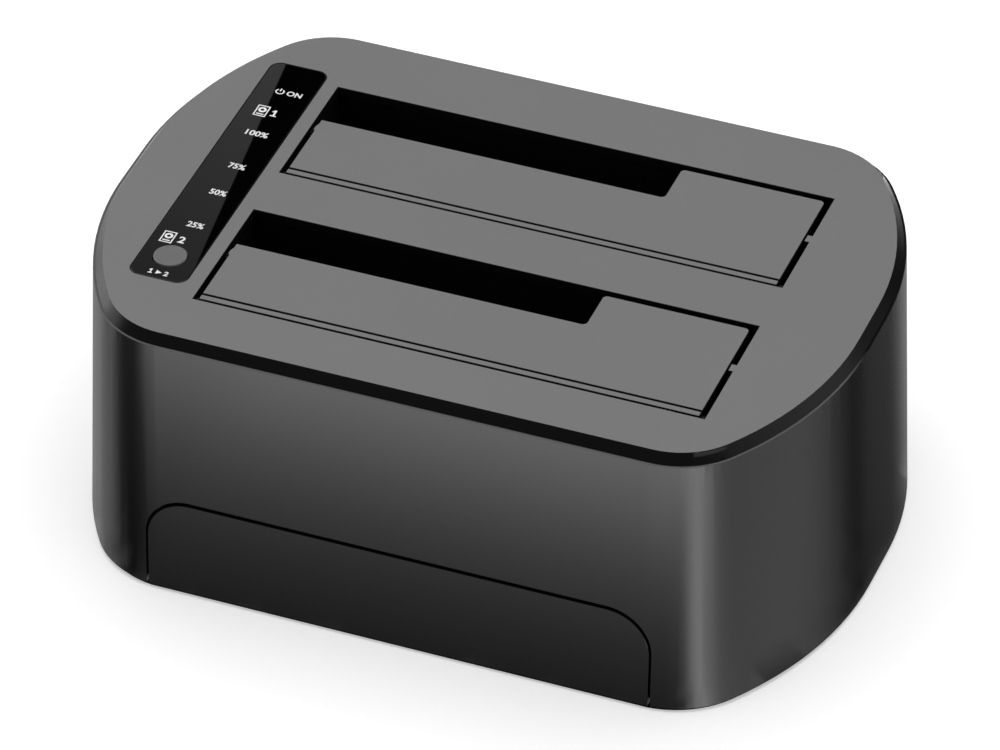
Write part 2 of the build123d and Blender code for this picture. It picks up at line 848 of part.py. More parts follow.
def usb_profile(lower_width, lower_height, upper_width, upper_height, bevel):
    # The socket's mouth: a wide lower part with two bevelled corners and a narrower part above.
    top = lower_height + upper_height
    corners = [(-lower_width / 2, 0), (lower_width / 2, 0), (lower_width / 2, lower_height - bevel),
               (lower_width / 2 - bevel, lower_height), (upper_width / 2, lower_height),
               (upper_width / 2, top), (-upper_width / 2, top), (-upper_width / 2, lower_height),
               (bevel - lower_width / 2, lower_height), (-lower_width / 2, lower_height - bevel)]
    return make_face(Polyline(*corners, close=True))


def usb_mouth_floor():
    return board_top + (usb_height - usb_lower_height - usb_upper_height) / 2


def make_usb_port():
    face = usb_face_y()
    body = block(usb_x - usb_width / 2, usb_x + usb_width / 2, face - usb_depth, face,
                 board_top, board_top + usb_height)
    body = fillet(body.edges().filter_by(Axis.Y), usb_shell)
    profile = usb_profile(usb_lower_width, usb_lower_height, usb_upper_width, usb_upper_height, usb_bevel)
    mouth = extrude(Plane.XZ * profile, -usb_cavity_depth - cut_over)
    return body - Pos(usb_x, face - usb_cavity_depth, usb_mouth_floor()) * mouth


def make_usb_tongues():
    back = usb_face_y() - usb_cavity_depth
    low = usb_mouth_floor() + (usb_lower_height - usb_tongue_height) / 2
    half = usb_tongue_width / 2
    main = block(usb_x - half, usb_x + half, back, back + usb_tongue_length, low, low + usb_tongue_height)
    main = chamfer(main.edges().group_by(Axis.Y)[-1], usb_tongue_height / 8)
    upper_low = usb_mouth_floor() + usb_lower_height + (usb_upper_height - usb_upper_tongue_height) / 2
    upper_half = usb_upper_width / 2 - usb_shell
    upper = block(usb_x - upper_half, usb_x + upper_half, back, back + usb_tongue_length, upper_low,
                  upper_low + usb_upper_tongue_height)
    return group([main, upper])


def jack_face_y():
    return skin_y(board_top + jack_axis_height) - port_recess


def make_jack():
    face = jack_face_y()
    body = block(jack_x - jack_width / 2, jack_x + jack_width / 2, face - jack_depth, face,
                 board_top, board_top + jack_height)
    body = chamfer(body.edges().group_by(Axis.Y)[-1], port_gap)
    mouth = Pos(jack_x, face, board_top + jack_axis_height) * Rot(90, 0, 0)
    inwards = (Align.CENTER, Align.CENTER, Align.MIN)
    bore = Cylinder(jack_bore, jack_bore_depth, align=inwards)
    lead = Cone(jack_bore + port_gap, jack_bore, port_gap, align=inwards)
    return body - mouth * bore - mouth * lead


def make_jack_pin():
    back = jack_face_y() - jack_bore_depth
    z = board_top + jack_axis_height
    middle = Pos(jack_x, back + jack_pin_length / 2, z)
    pin = middle * Rot(90, 0, 0) * Cylinder(jack_pin_radius, jack_pin_length)
    return fillet(pin.edges().group_by(Axis.Y)[-1], jack_pin_tip)


def switch_face_y():
    return skin_y(board_top + switch_height / 2) - switch_recess


def switch_middle():
    # The rocker's turning axis, upright inside the switch.
    return Pos(switch_x, switch_face_y() - rocker_pivot_depth, board_top + switch_height / 2)


def make_switch_body():
    face = switch_face_y()
    body = block(switch_x - switch_width / 2, switch_x + switch_width / 2, face - switch_depth, face,
                 board_top, board_top + switch_height)
    body -= block(switch_x - switch_width / 2 + switch_frame, switch_x + switch_width / 2 - switch_frame,
                  face - rocker_well_depth, face + cut_over, board_top + switch_frame,
                  board_top + switch_height - switch_frame)
    journal = rocker_pivot_length + rocker_pivot_gap
    half = switch_height / 2 - switch_frame + journal
    return body - switch_middle() * Cylinder(rocker_pivot_radius + rocker_pivot_gap, 2 * half)


def make_rocker():
    # A key with two faces that meet in a shallow valley, turned so that one end is pressed in.
    half_length = switch_width / 2 - switch_frame - rocker_gap
    half_height = switch_height / 2 - switch_frame - rocker_gap
    valley = rocker_pivot_depth
    tip = rocker_pivot_depth + rocker_proud
    tip_x = half_length - tip * sin(radians(rocker_tilt))
    corners = [(-half_length, 0), (-tip_x, tip), (0, valley), (tip_x, tip), (half_length, 0),
               (rocker_root, -rocker_pivot_radius), (-rocker_root, -rocker_pivot_radius)]
    key = extrude(make_face(Polyline(*corners, close=True)), half_height, both=True)
    edges = [edge for edge in key.edges().filter_by(Axis.Z) if edge.center().Y > valley]
    key = fillet(edges, rocker_gap)
    pivots = Cylinder(rocker_pivot_radius, 2 * (half_height + rocker_gap + rocker_pivot_length))
    return switch_middle() * Rot(0, 0, rocker_tilt) * (key + pivots)


def seated_block(x, y, length, width, height):
    return block(x - length / 2, x + length / 2, y - width / 2, y + width / 2,
                 board_top, board_top + height)


def strip_y():
    # Middle of the open strip between the two wells.
    return (slot_back("front") + slot_front("rear")) / 2


def back_strip_y():
    # Middle of the strip between the rear well and the back edge of the board.
    return (slot_back("rear") + well_side + board_back) / 2


def make_bridge_chips():
    chips = [seated_block(slot_centre_x, bay_centres[bay] - chip_size / 4,
                          chip_size, chip_size, chip_height) for bay in bay_centres]
    return group(chamfer(chip.edges().group_by(Axis.Z)[-1], chip_height / 6) for chip in chips)


def make_memory_chip():
    chip = seated_block(slot_centre_x + 2 * chip_size, bay_centres["rear"] - chip_size / 4,
                        memory_length, memory_width, memory_height)
    return chamfer(chip.edges().group_by(Axis.Z)[-1], memory_height / 6)


def make_coils():
    places = [(slot_centre_x - 2 * chip_size, bay_centres[bay] - chip_size / 4) for bay in bay_centres]
    return group(rounded_block(x, y, board_top, coil_size, coil_size, coil_height, coil_corner)
                 for x, y in places)


def make_regulators():
    places = [(slot_centre_x - 3 * chip_size, bay_centres[bay] - chip_size / 4) for bay in bay_centres]
    return group(seated_block(x, y, regulator_length, regulator_width, regulator_height) for x, y in places)


def capacitor(x, y, radius, height):
    can = post(x, y, board_top, board_top + height, radius)
    can = fillet(can.edges().group_by(Axis.Z)[-1], capacitor_groove)
    level = board_top + height / 6
    ring = post(x, y, level, level + capacitor_groove, radius + cut_over) \
        - post(x, y, level - cut_over, level + capacitor_groove + cut_over, radius - capacitor_groove)
    return can - ring


def make_capacitors():
    step = 3 * small_capacitor_radius
    small = [capacitor(slot_centre_x + number * step, strip_y(),
                       small_capacitor_radius, small_capacitor_height) for number in (-3, -2, 2, 3)]
    gap = 2.5 * large_capacitor_radius
    middle = (usb_x + usb_width / 2 + switch_x - switch_width / 2) / 2
    large = [capacitor(middle + side * gap / 2, back_strip_y(),
                       large_capacitor_radius, large_capacitor_height) for side in (-1, 1)]
    return group(small + large)


def make_crystal():
    return rounded_block(slot_centre_x, strip_y(), board_top, crystal_length, crystal_width,
                         crystal_height, crystal_width * round_end_share)


# Indicator panel

def make_lens():
    lens = rounded_block(lens_x, lens_y, case_top - lens_thickness, lens_width, lens_length, lens_thickness,
                         lens_corner)
    hole = post(lens_x, button_y, case_top - lens_thickness - cut_over, case_top + cut_over,
                button_radius + button_gap)
    return lens - hole


def make_light_guide():
    # A block of open wells that keeps the light of each lamp to its own window.
    back = max(light_places) + window_length / 2 + guide_block_wall
    front = min(light_places) - window_length / 2 - guide_block_wall
    guide = block(lens_x - guide_block_width / 2, lens_x + guide_block_width / 2, front, back,
                  panel_board_top, cover_under)
    for y in light_places:
        guide -= block(lens_x - window_width / 2, lens_x + window_width / 2, y - window_length / 2,
                       y + window_length / 2, panel_board_top - cut_over, cover_under + cut_over)
    return guide


def make_lamps():
    return group(block(lens_x - led_width / 2, lens_x + led_width / 2,
                       y - led_length / 2, y + led_length / 2,
                       panel_board_top, panel_board_top + led_height) for y in light_places)


def make_panel_board():
    board = rounded_block(lens_x, lens_y, panel_board_under, panel_board_width, lens_length,
                          panel_board_thickness, panel_board_corner)
    tab_length = lens_length + 2 * panel_board_over
    board += rounded_block(lens_x, lens_y, panel_board_under, 2 * panel_screw_inset, tab_length,
                           panel_board_thickness, panel_board_corner)
    for x, y in panel_bosses:
        board -= post(x, y, panel_board_under - cut_over, panel_board_top + cut_over,
                      screw_radius + hole_gap)
    return board


def flange_under():
    return cover_under - moving_gap - button_flange_height


def make_clone_button():
    cap = post(lens_x, button_y, flange_under(), case_top + button_proud, button_radius)
    cap = fillet(cap.edges().group_by(Axis.Z)[-1], button_edge)
    flange = post(lens_x, button_y, flange_under(), flange_under() + button_flange_height,
                  button_radius + button_flange)
    return cap + flange


def make_tact_switch():
    top = panel_board_top + tact_height
    body = block(lens_x - tact_size / 2, lens_x + tact_size / 2, button_y - tact_size / 2,
                 button_y + tact_size / 2, panel_board_top, top)
    well_bottom = top - plunger_depth - button_travel - plunger_gap
    return body - post(lens_x, button_y, well_bottom, top + cut_over, plunger_radius + plunger_gap)


def make_plunger():
    top = panel_board_top + tact_height
    return post(lens_x, button_y, top - plunger_depth, flange_under(), plunger_radius)


def panel_header_low():
    return panel_board_under - header_height


def make_panel_header():
    low = panel_header_low()
    body = block(lens_x - header_width / 2, lens_x + header_width / 2, ribbon_y - header_length / 2,
                 ribbon_y + header_length / 2, low, panel_board_under)
    return body - ribbon_slit(lens_x, low)


def make_board_header():
    x = board_header_x
    body = block(x - header_width / 2, x + header_width / 2, ribbon_y - header_length / 2,
                 ribbon_y + header_length / 2, board_top, board_top + header_height)
    return body - ribbon_slit(x, board_top + header_height)


def ribbon_slit(x, level):
    # The cut in a header that takes the ribbon's end.
    half = ribbon_thickness / 2 + pilot_gap
    return block(x - half, x + half, ribbon_y - ribbon_width / 2 - pilot_gap,
                 ribbon_y + ribbon_width / 2 + pilot_gap, level - ribbon_entry, level + ribbon_entry)


def make_ribbon():
    # A flat strip that drops from the upper board, steps sideways in two bends and enters the lower one.
    high = panel_header_low() + ribbon_entry
    low = board_top + header_height - ribbon_entry
    step_x = board_header_x - lens_x
    knee = board_top + header_height + ribbon_bend
    points = [(lens_x, 0, high), (lens_x, 0, knee + 2 * step_x), (board_header_x, 0, knee),
              (board_header_x, 0, low)]
    path = FilletPolyline(*points, radius=ribbon_bend)
    start = Plane(origin=path @ 0, z_dir=path % 0, x_dir=(1, 0, 0))
    return Pos(0, ribbon_y, 0) * sweep(start * Rectangle(ribbon_thickness, ribbon_width), path)


# Screws

def make_case_screws():
    return group(screw(x, y, case_seat(), case_screw_length, 1) for x, y in case_bosses)


def make_board_screws():
    return group(screw(x, y, board_top, short_screw_length - board_thickness, -1) for x, y in board_screws)


def make_cradle_screws():
    low = cover_under - ear_drop - ear_thickness
    return group(screw(x, y, low, short_screw_length, 1) for x, y in ear_places())


def make_panel_screws():
    return group(screw(x, y, panel_board_under, guide_block_height, 1) for x, y in panel_bosses)


nodes = {
    "top_cover": make_top_cover(),
    "body_shell": make_body_shell(),
    "base_tray": make_base_tray(),
    "rubber_feet": make_feet(),
    "drive_cradle": make_drive_cradle(),
    "main_board": make_main_board(),
    "usb_port": make_usb_port(),
    "usb_port_tongues": make_usb_tongues(),
    "power_jack": make_jack(),
    "power_jack_pin": make_jack_pin(),
    "power_switch_body": make_switch_body(),
    "power_switch_rocker": make_rocker(),
    "bridge_chips": make_bridge_chips(),
    "memory_chip": make_memory_chip(),
    "power_coils": make_coils(),
    "voltage_regulators": make_regulators(),
    "capacitors": make_capacitors(),
    "clock_crystal": make_crystal(),
    "board_header": make_board_header(),
    "panel_ribbon": make_ribbon(),
    "panel_header": make_panel_header(),
    "indicator_lens": make_lens(),
    "light_guide": make_light_guide(),
    "status_lamps": make_lamps(),
    "indicator_board": make_panel_board(),
    "clone_button": make_clone_button(),
    "button_switch": make_tact_switch(),
    "button_plunger": make_plunger(),
    "case_screws": make_case_screws(),
    "board_screws": make_board_screws(),
    "cradle_screws": make_cradle_screws(),
    "panel_screws": make_panel_screws(),
}
for bay in bay_centres:
    nodes[f"drive_socket_{bay}"] = make_socket(bay)
    nodes[f"socket_contacts_{bay}"] = make_contacts(bay)
    nodes[f"flap_{bay}"] = make_flap(bay)
    nodes[f"flap_pin_{bay}"] = make_flap_pin(bay)
    nodes[f"flap_spring_{bay}"] = make_flap_spring(bay)

os.makedirs("parts", exist_ok=True)
for name, shape in nodes.items():
    export_step(shape, f"parts/{name}.step")
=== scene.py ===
import bmesh
import bpy
import json
import math
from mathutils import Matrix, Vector
from mathutils.bvhtree import BVHTree


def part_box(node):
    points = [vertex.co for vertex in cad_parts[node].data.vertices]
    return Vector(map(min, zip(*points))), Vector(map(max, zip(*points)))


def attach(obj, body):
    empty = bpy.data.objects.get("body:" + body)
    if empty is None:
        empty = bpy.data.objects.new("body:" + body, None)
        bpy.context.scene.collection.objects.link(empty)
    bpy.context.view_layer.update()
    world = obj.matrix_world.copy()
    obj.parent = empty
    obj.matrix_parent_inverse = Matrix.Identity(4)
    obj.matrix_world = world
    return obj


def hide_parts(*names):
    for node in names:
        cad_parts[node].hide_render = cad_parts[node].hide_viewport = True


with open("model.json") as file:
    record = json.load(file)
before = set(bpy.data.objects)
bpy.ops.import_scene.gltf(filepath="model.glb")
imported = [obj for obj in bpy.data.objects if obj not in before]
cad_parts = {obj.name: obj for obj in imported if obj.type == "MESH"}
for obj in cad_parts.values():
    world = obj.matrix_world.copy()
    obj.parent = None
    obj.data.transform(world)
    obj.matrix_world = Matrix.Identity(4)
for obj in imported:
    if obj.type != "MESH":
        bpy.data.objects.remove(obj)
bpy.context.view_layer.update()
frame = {"nodes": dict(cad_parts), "record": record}
bodyOf = {node: body for body, nodes in frame["record"]["behaviour"]["bodies"].items() for node in nodes}
print("frame loaded:", len(frame["nodes"]), "nodes")

mm = 0.001


def inMm(*place):
    return Vector(place) * mm


# Shader trees

nodeFamily = {"ShaderNodeTree": "ShaderNode", "GeometryNodeTree": "GeometryNode"}


def outOf(value):
    # A node stands for its first output in use; anything else stands for itself.
    if isinstance(value, bpy.types.Node):
        return next(output for output in value.outputs if output.enabled)
    return value


def addNode(tree, kind, props=None, **sockets):
    # Makes a node, sets its properties, and fills or links the sockets named by name or identifier. A
    # kind without its family's name is of the tree's own family.
    made = tree.nodes.new(kind if "Node" in kind else nodeFamily[tree.bl_idname] + kind)
    for key, value in (props or {}).items():
        setattr(made, key, value)
    for key, value in sockets.items():
        words = key.replace("_", " ")
        socket = next(s for s in made.inputs
                      if s.enabled and words in (s.name, s.identifier.replace("_", " ")))
        value = outOf(value)
        if isinstance(value, bpy.types.NodeSocket):
            tree.links.new(value, socket)
        else:
            socket.default_value = value
    return made


def maths(tree, operation, first, second):
    return addNode(tree, "ShaderNodeMath", {"operation": operation}, Value=first, Value_001=second)


def newMaterial(name):
    material = bpy.data.materials.new(name)
    material.use_nodes = True
    material.node_tree.nodes.clear()
    return material, material.node_tree


def placedMaterial(name):
    # A new material, its tree and the socket that holds a point's place on the piece.
    material, tree = newMaterial(name)
    return material, tree, addNode(tree, "TexCoord").outputs["Object"]


def linked(name, data):
    made = bpy.data.objects.new(name, data)
    bpy.context.scene.collection.objects.link(made)
    return made


def finishMaterial(tree, colour, rough, bump, **more):
    shader = addNode(tree, "BsdfPrincipled", Base_Color=colour, Roughness=rough, Normal=bump, **more)
    addNode(tree, "OutputMaterial", Surface=shader)


def grey(level):
    # A neutral colour from its level on the screen, 0 to 255.
    share = level / 255
    linear = share / 12.92 if share <= 0.04045 else ((share + 0.055) / 1.055) ** 2.4
    return linear, linear, linear, 1


def tint(red, green, blue):
    return grey(red)[0], grey(green)[0], grey(blue)[0], 1


def mixColours(tree, factor, first, second):
    return addNode(tree, "Mix", {"data_type": "RGBA"}, Factor=factor, A=first, B=second)


noiseDetail = {"grain": 3.0, "drift": 2.0, "lines": 2.0}


def noise(tree, place, scale, use):
    return addNode(tree, "TexNoise", Vector=place, Scale=scale, Detail=noiseDetail[use])


def toneDrift(tree, place, look):
    return mixColours(tree, noise(tree, place, look["driftScale"], "drift"), look["dark"], look["light"])


def grained(tree, place, look, grain, **more):
    # The grain shows in the bump and the gloss, over a slow drift of tone.
    swing = look["roughnessSwing"]
    rough = addNode(tree, "MapRange", Value=grain,
                    To_Min=look["roughness"] - swing, To_Max=look["roughness"] + swing)
    bump = addNode(tree, "Bump", Height=grain,
                   Strength=look["grainStrength"], Distance=look["grainDepth"] * mm)
    finishMaterial(tree, toneDrift(tree, place, look), rough, bump, **more)


def plastic(name, look):
    # Moulded plastic with a fine eroded grain.
    material, tree, place = placedMaterial(name)
    grain = noise(tree, place, look["grainScale"], "grain")
    grained(tree, place, look, grain, Specular_IOR_Level=look["specular"])
    return material


def metal(name, look):
    # Drawn or plated metal: fine lines one way, a little tarnish.
    material, tree, place = placedMaterial(name)
    lines = addNode(tree, "Mapping", Vector=place, Scale=look["lines"])
    grained(tree, place, look, noise(tree, lines, 1.0, "lines"), Metallic=1.0)
    return material


# The ledge's painted highlight: pale at the front and the left, fading to dark towards the right and the
# back.
ledgeHighlightLook = {"pale": grey(96), "dark": grey(6), "across": (0.35, 1.0, 0.0), "fadeFrom": 9.0 * mm,
             "fadeTo": 21.0 * mm, "grainScale": 5200.0, "grainDepth": 0.004 * mm, "roughness": 0.4,
             "specular": 0.03}
plasticKeys = ("dark", "light", "driftScale", "grainScale", "grainStrength", "grainDepth", "roughness",
               "roughnessSwing", "specular")
# Each plastic: its dark and light tone, the scales of their drift and of the grain, the grain's strength
# and its depth in millimetres, the roughness and its swing, and the specular level.
plasticRows = {
    "mattGreyPlastic": (grey(114), grey(119), 30, 4200, 0.25, 0.02, 0.6, 0.05, 0.25),
    "satinBlackPlastic": (grey(14), grey(17), 24, 5200, 0.06, 0.004, 0.205, 0.02, 0.5),
    # The band's gloss black, also painted on the broken edges of the top's slots and gaps as painted
    # shade.
    "rimBlackPlastic": (grey(9), grey(12), 24, 5200, 0.04, 0.004, 0.2, 0.02, 0.1),
    # Near black for the insides, also painted on the walls and edges of the gaps as painted shade.
    "innerBlackPlastic": (grey(2), grey(5), 40, 3600, 0.3, 0.02, 0.6, 0.06, 0.1),
    "glossBlackLens": (grey(2), grey(4), 60, 900, 0.01, 0.001, 0.012, 0.004, 0.5),
    "buttonGreyPlastic": (grey(98), grey(106), 300, 5200, 0.2, 0.01, 0.45, 0.04, 0.3),
    "portBlackPlastic": (grey(16), grey(22), 200, 5200, 0.15, 0.008, 0.4, 0.04, 0.4),
    "capacitorSleeve": (tint(20, 24, 40), tint(26, 30, 50), 300, 3000, 0.05, 0.004, 0.3, 0.04, 0.5),
    "footRubber": (grey(30), grey(38), 200, 3000, 0.4, 0.03, 0.8, 0.08, 0.2),
    "ivoryNylon": (tint(206, 200, 182), tint(222, 216, 200), 400, 3000, 0.15, 0.02, 0.5, 0.05, 0.4),
    "bluePortPlastic": (tint(42, 92, 176), tint(52, 104, 190), 400, 3000, 0.12, 0.01, 0.4, 0.04, 0.4),
    "chipEpoxy": (grey(24), grey(32), 500, 6000, 0.3, 0.01, 0.55, 0.08, 0.35),
    "coilFerrite": (grey(44), grey(58), 300, 2500, 0.4, 0.02, 0.6, 0.1, 0.3),
    "lampResin": (tint(214, 216, 204), tint(232, 234, 224), 900, 2000, 0.05, 0.01, 0.2, 0.03, 0.5),
    "whiteInk": (grey(238), grey(248), 900, 6000, 0.1, 0.002, 0.5, 0.05, 0.3),
    "greyInk": (grey(120), grey(132), 900, 6000, 0.1, 0.002, 0.5, 0.05, 0.3),
}
metalKeys = ("dark", "light", "driftScale", "lines", "grainStrength", "grainDepth", "roughness",
             "roughnessSwing")
# Each metal: its dark and light tone, the scale of their drift and those of the drawn lines, the lines'
# strength and depth in millimetres, the roughness and its swing.
metalRows = {
    "platedSteel": (tint(170, 172, 176), tint(196, 198, 200), 300, (9000, 600, 9000), 0.15, 0.005,
                    0.3, 0.06),
    "blackenedSteel": (grey(20), grey(28), 300, (600, 9000, 9000), 0.1, 0.004, 0.42, 0.05),
    "goldPlate": (tint(206, 164, 84), tint(226, 186, 104), 900, (9000, 9000, 600), 0.1, 0.004,
                  0.24, 0.05),
    "capacitorCan": (tint(176, 178, 182), tint(204, 206, 208), 500, (9000, 9000, 900), 0.15, 0.005,
                     0.34, 0.06),
}
boardLook = {"dark": tint(14, 62, 38), "light": tint(22, 84, 50), "track": tint(27, 94, 57),
             "driftScale": 900.0, "trackScale": 160.0, "trackWidth": 0.06, "trackDepth": 0.03 * mm,
             "trackShift": 0.37, "trackLength": 1.1, "trackPitch": 0.24, "roughness": 0.35,
             "specular": 0.5}
ribbonLook = {"film": grey(196), "wire": grey(150), "wireScale": 160.0, "roughness": 0.35,
              "wireDepth": 0.05 * mm, "specular": 0.45}


def boardLacquer(name, look):
    # Solder mask: a drifting green with paler copper tracks that stand up a little.
    material, tree, place = placedMaterial(name)
    tracks = addNode(tree, "TexBrick", {"offset": look["trackShift"]}, Vector=place,
                     Scale=look["trackScale"], Mortar_Size=look["trackWidth"],
                     Brick_Width=look["trackLength"], Row_Height=look["trackPitch"])
    colour = mixColours(tree, tracks.outputs["Fac"], toneDrift(tree, place, look), look["track"])
    bump = addNode(tree, "Bump", Height=tracks.outputs["Fac"], Distance=look["trackDepth"])
    finishMaterial(tree, colour, look["roughness"], bump, Specular_IOR_Level=look["specular"])
    return material


def ribbonFilmFinish(name, look):
    # Clear film over flat wires that run along the ribbon, side by side across Y.
    material, tree, place = placedMaterial(name)
    wires = addNode(tree, "TexWave", {"bands_direction": "Y"}, Vector=place, Scale=look["wireScale"])
    colour = mixColours(tree, wires.outputs["Fac"], look["wire"], look["film"])
    bump = addNode(tree, "Bump", Height=wires.outputs["Fac"], Distance=look["wireDepth"])
    finishMaterial(tree, colour, look["roughness"], bump, Specular_IOR_Level=look["specular"])
    return material


def ledgePaintedHighlight(name, look):
    # The ledge is painted pale along the front and the left side and dark at the right and the back, a
    # painted highlight where its edge catches the light.
    material, tree, place = placedMaterial(name)
    along = addNode(tree, "VectorMath", {"operation": "DOT_PRODUCT"}, Vector=place)
    along.inputs[1].default_value = look["across"]
    fade = addNode(tree, "MapRange", Value=along, From_Min=look["fadeFrom"], From_Max=look["fadeTo"])
    colour = mixColours(tree, fade, look["pale"], look["dark"])
    grain = addNode(tree, "TexNoise", Vector=place, Scale=look["grainScale"])
    bump = addNode(tree, "Bump", Height=grain, Distance=look["grainDepth"])
    finishMaterial(tree, colour, look["roughness"], bump, Specular_IOR_Level=look["specular"])
    return material


def madeOf(make, keys, rows):
    return [make(name, dict(zip(keys, row))) for name, row in rows.items()]


(mattGrey, satinBlack, rimBlackAndEdgeShade, innerBlackAndGapShade, lensBlack, buttonGrey, portBlack, sleeveBlack, footRubber,
 ivoryPlastic, bluePlastic, chipEpoxy, ferrite, lampResin, whiteInk,
 greyInk) = madeOf(plastic, plasticKeys, plasticRows)
steel, blackSteel, gold, canMetal = madeOf(metal, metalKeys, metalRows)
ledgeHighlightBlack = ledgePaintedHighlight("ledgePlasticPaintedHighlight", ledgeHighlightLook)
boardGreen = boardLacquer("boardLacquer", boardLook)
ribbonFilm = ribbonFilmFinish("ribbonFilm", ribbonLook)
print("materials made:", len(bpy.data.materials))


# Pieces that finish a node's own shape

def dressedCopy(node, name, materials, look):
    # The node's shape welded, with flat faces in one piece and its edges broken by a small round.
    mesh = bpy.data.meshes.new(name)
    work = bmesh.new()
    work.from_mesh(frame["nodes"][node].data)
    bmesh.ops.remove_doubles(work, verts=work.verts[:], dist=look["weld"])
    bmesh.ops.dissolve_limit(work, angle_limit=math.radians(look["flatAngle"]), verts=work.verts[:],
                             edges=work.edges[:])
    for face in work.faces:
        face.smooth = True
    work.to_mesh(mesh)
    work.free()
    for material in materials:
        mesh.materials.append(material)
    piece = linked(name, mesh)
    mesh.set_sharp_from_angle(angle=math.radians(look["sharpAngle"]))
    edges = piece.modifiers.new("edges", "BEVEL")
    edges.width = look["edge"]
    edges.segments = look["segments"]
    edges.limit_method = "ANGLE"
    edges.angle_limit = math.radians(look["sharpAngle"])
    edges.harden_normals = True
    edges.use_clamp_overlap = look["clamp"]
    edges.material = look.get("edgeMaterial", -1)
    weights = piece.modifiers.new("weights", "WEIGHTED_NORMAL")
    weights.keep_sharp = True
    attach(piece, bodyOf[node])
    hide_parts(node)
    return piece


edgeLook = {"weld": 0.002 * mm, "flatAngle": 0.5, "sharpAngle": 28.0, "edge": 0.15 * mm, "segments": 2,
            "clamp": True}
# Where a gap is only a thin line, the broken edges beside it are painted black, a painted shade that
# widens the gap's dark line.
gapShadeEdgeLook = dict(edgeLook, edge=0.1 * mm, segments=1, edgeMaterial=1, clamp=False)
wallLook = dict(edgeLook, edge=0.05 * mm, segments=1)
smallLook = dict(edgeLook, edge=0.08 * mm)


def paintByFace(piece, choose):
    # Gives each face the material that choose picks from its middle, in millimetres, and its normal.
    for face in piece.data.polygons:
        face.material_index = choose(face.center / mm, face.normal)


def breakEdges(piece, bare):
    # Only the sharp edges that don't meet a face of the bare material are broken.
    mesh = piece.data
    off = {mesh.loops[corner].edge_index for face in mesh.polygons if face.material_index == bare
           for corner in face.loop_indices}
    weights = mesh.attributes.new("bevel_weight_edge", "FLOAT", "EDGE").data
    for index, sharp in enumerate(mesh.attributes["sharp_edge"].data):
        weights[index].value = float(sharp.value and index not in off)
    piece.modifiers["edges"].limit_method = "WEIGHT"


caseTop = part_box("top_cover")[1].z / mm
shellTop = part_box("body_shell")[1].z / mm
caseFinish = {"flat": 0.9, "topReach": 0.3, "slope": 0.5, "bandReach": 3.0, "ledgeReach": 0.05}


def coverFinishAndGapShade(centre, normal):
    # The grey top, the black band that slopes down round it, and the inside and the walls of the slots
    # painted near black, a painted shade for the gaps and slots.
    if normal.z > caseFinish["flat"] and centre.z > caseTop - caseFinish["topReach"]:
        return 0
    outward = normal.x * centre.x + normal.y * centre.y
    if normal.z > caseFinish["slope"] and centre.z > caseTop - caseFinish["bandReach"] and outward > 0:
        return 1
    return 2


def shellAndLedgeHighlight(centre, normal):
    # The thin ledge at the top of the wall takes the painted highlight where it catches the light.
    return 1 if normal.z > caseFinish["flat"] and centre.z > shellTop - caseFinish["ledgeReach"] else 0


# The flap's grey top; its sides and the broken edges at its gaps are painted near black, a painted shade
# for the gaps round it.
def flapTopAndGapShade(centre, normal):
    return 0 if normal.z > caseFinish["flat"] and centre.z > caseTop - caseFinish["topReach"] else 1


topCover = dressedCopy("top_cover", "topCover", [mattGrey, rimBlackAndEdgeShade, innerBlackAndGapShade],
                       gapShadeEdgeLook)
paintByFace(topCover, coverFinishAndGapShade)
breakEdges(topCover, bare=1)
bodyShell = dressedCopy("body_shell", "bodyShell", [satinBlack, ledgeHighlightBlack],
                        wallLook)
paintByFace(bodyShell, shellAndLedgeHighlight)
dressedCopy("base_tray", "baseTray", [satinBlack], wallLook)
dressedCopy("indicator_lens", "indicatorLens", [lensBlack], edgeLook)
dressedCopy("clone_button", "copyButton", [buttonGrey], edgeLook)
for side in ("rear", "front"):
    flap = dressedCopy(f"flap_{side}", f"flap.{side}", [mattGrey, innerBlackAndGapShade],
                       gapShadeEdgeLook)
    paintByFace(flap, flapTopAndGapShade)
print("case pieces made")

# The nodes that keep their own mesh and only take a finish.
plainFinishes = {
    boardGreen: ("main_board", "indicator_board"),
    steel: ("power_jack_pin", "clock_crystal", "flap_spring_rear", "flap_spring_front"),
    chipEpoxy: ("bridge_chips", "memory_chip", "voltage_regulators"),
    ferrite: ("power_coils",),
    ivoryPlastic: ("board_header", "panel_header", "button_plunger"),
    ribbonFilm: ("panel_ribbon",),
    innerBlackAndGapShade: ("light_guide",),
    lampResin: ("status_lamps",),
    portBlack: ("button_switch",),
    blackSteel: ("flap_pin_rear", "flap_pin_front"),
}
smallPieces = {
    "usb_port": ("usbShell", "port_steel", steel),
    "power_jack": ("powerJack", "black_plastic", portBlack),
    "power_switch_body": ("switchFrame", "black_plastic", portBlack),
    "power_switch_rocker": ("switchRocker", "black_plastic", portBlack),
    "usb_port_tongues": ("usbTongues", "port_insulator", bluePlastic),
    "drive_socket_rear": ("driveSocket.rear", "black_plastic", portBlack),
    "drive_socket_front": ("driveSocket.front", "black_plastic", portBlack),
    "drive_cradle": ("driveCradle", "black_plastic", innerBlackAndGapShade),
}
for node, (name, slot, material) in smallPieces.items():
    dressedCopy(node, name, [material], smallLook)
capacitors = dressedCopy("capacitors", "sleevedCapacitors", [sleeveBlack, canMetal],
                         smallLook)
paintByFace(capacitors, lambda centre, normal: 1 if normal.z > caseFinish["flat"] else 0)
print("ports, sockets and cradle dressed:", len(smallPieces))
for material, nodes in plainFinishes.items():
    for node in nodes:
        slots = frame["nodes"][node].data.materials
        slots.clear()
        slots.append(material)
print("node finishes set")


# Words and signs printed on the lens

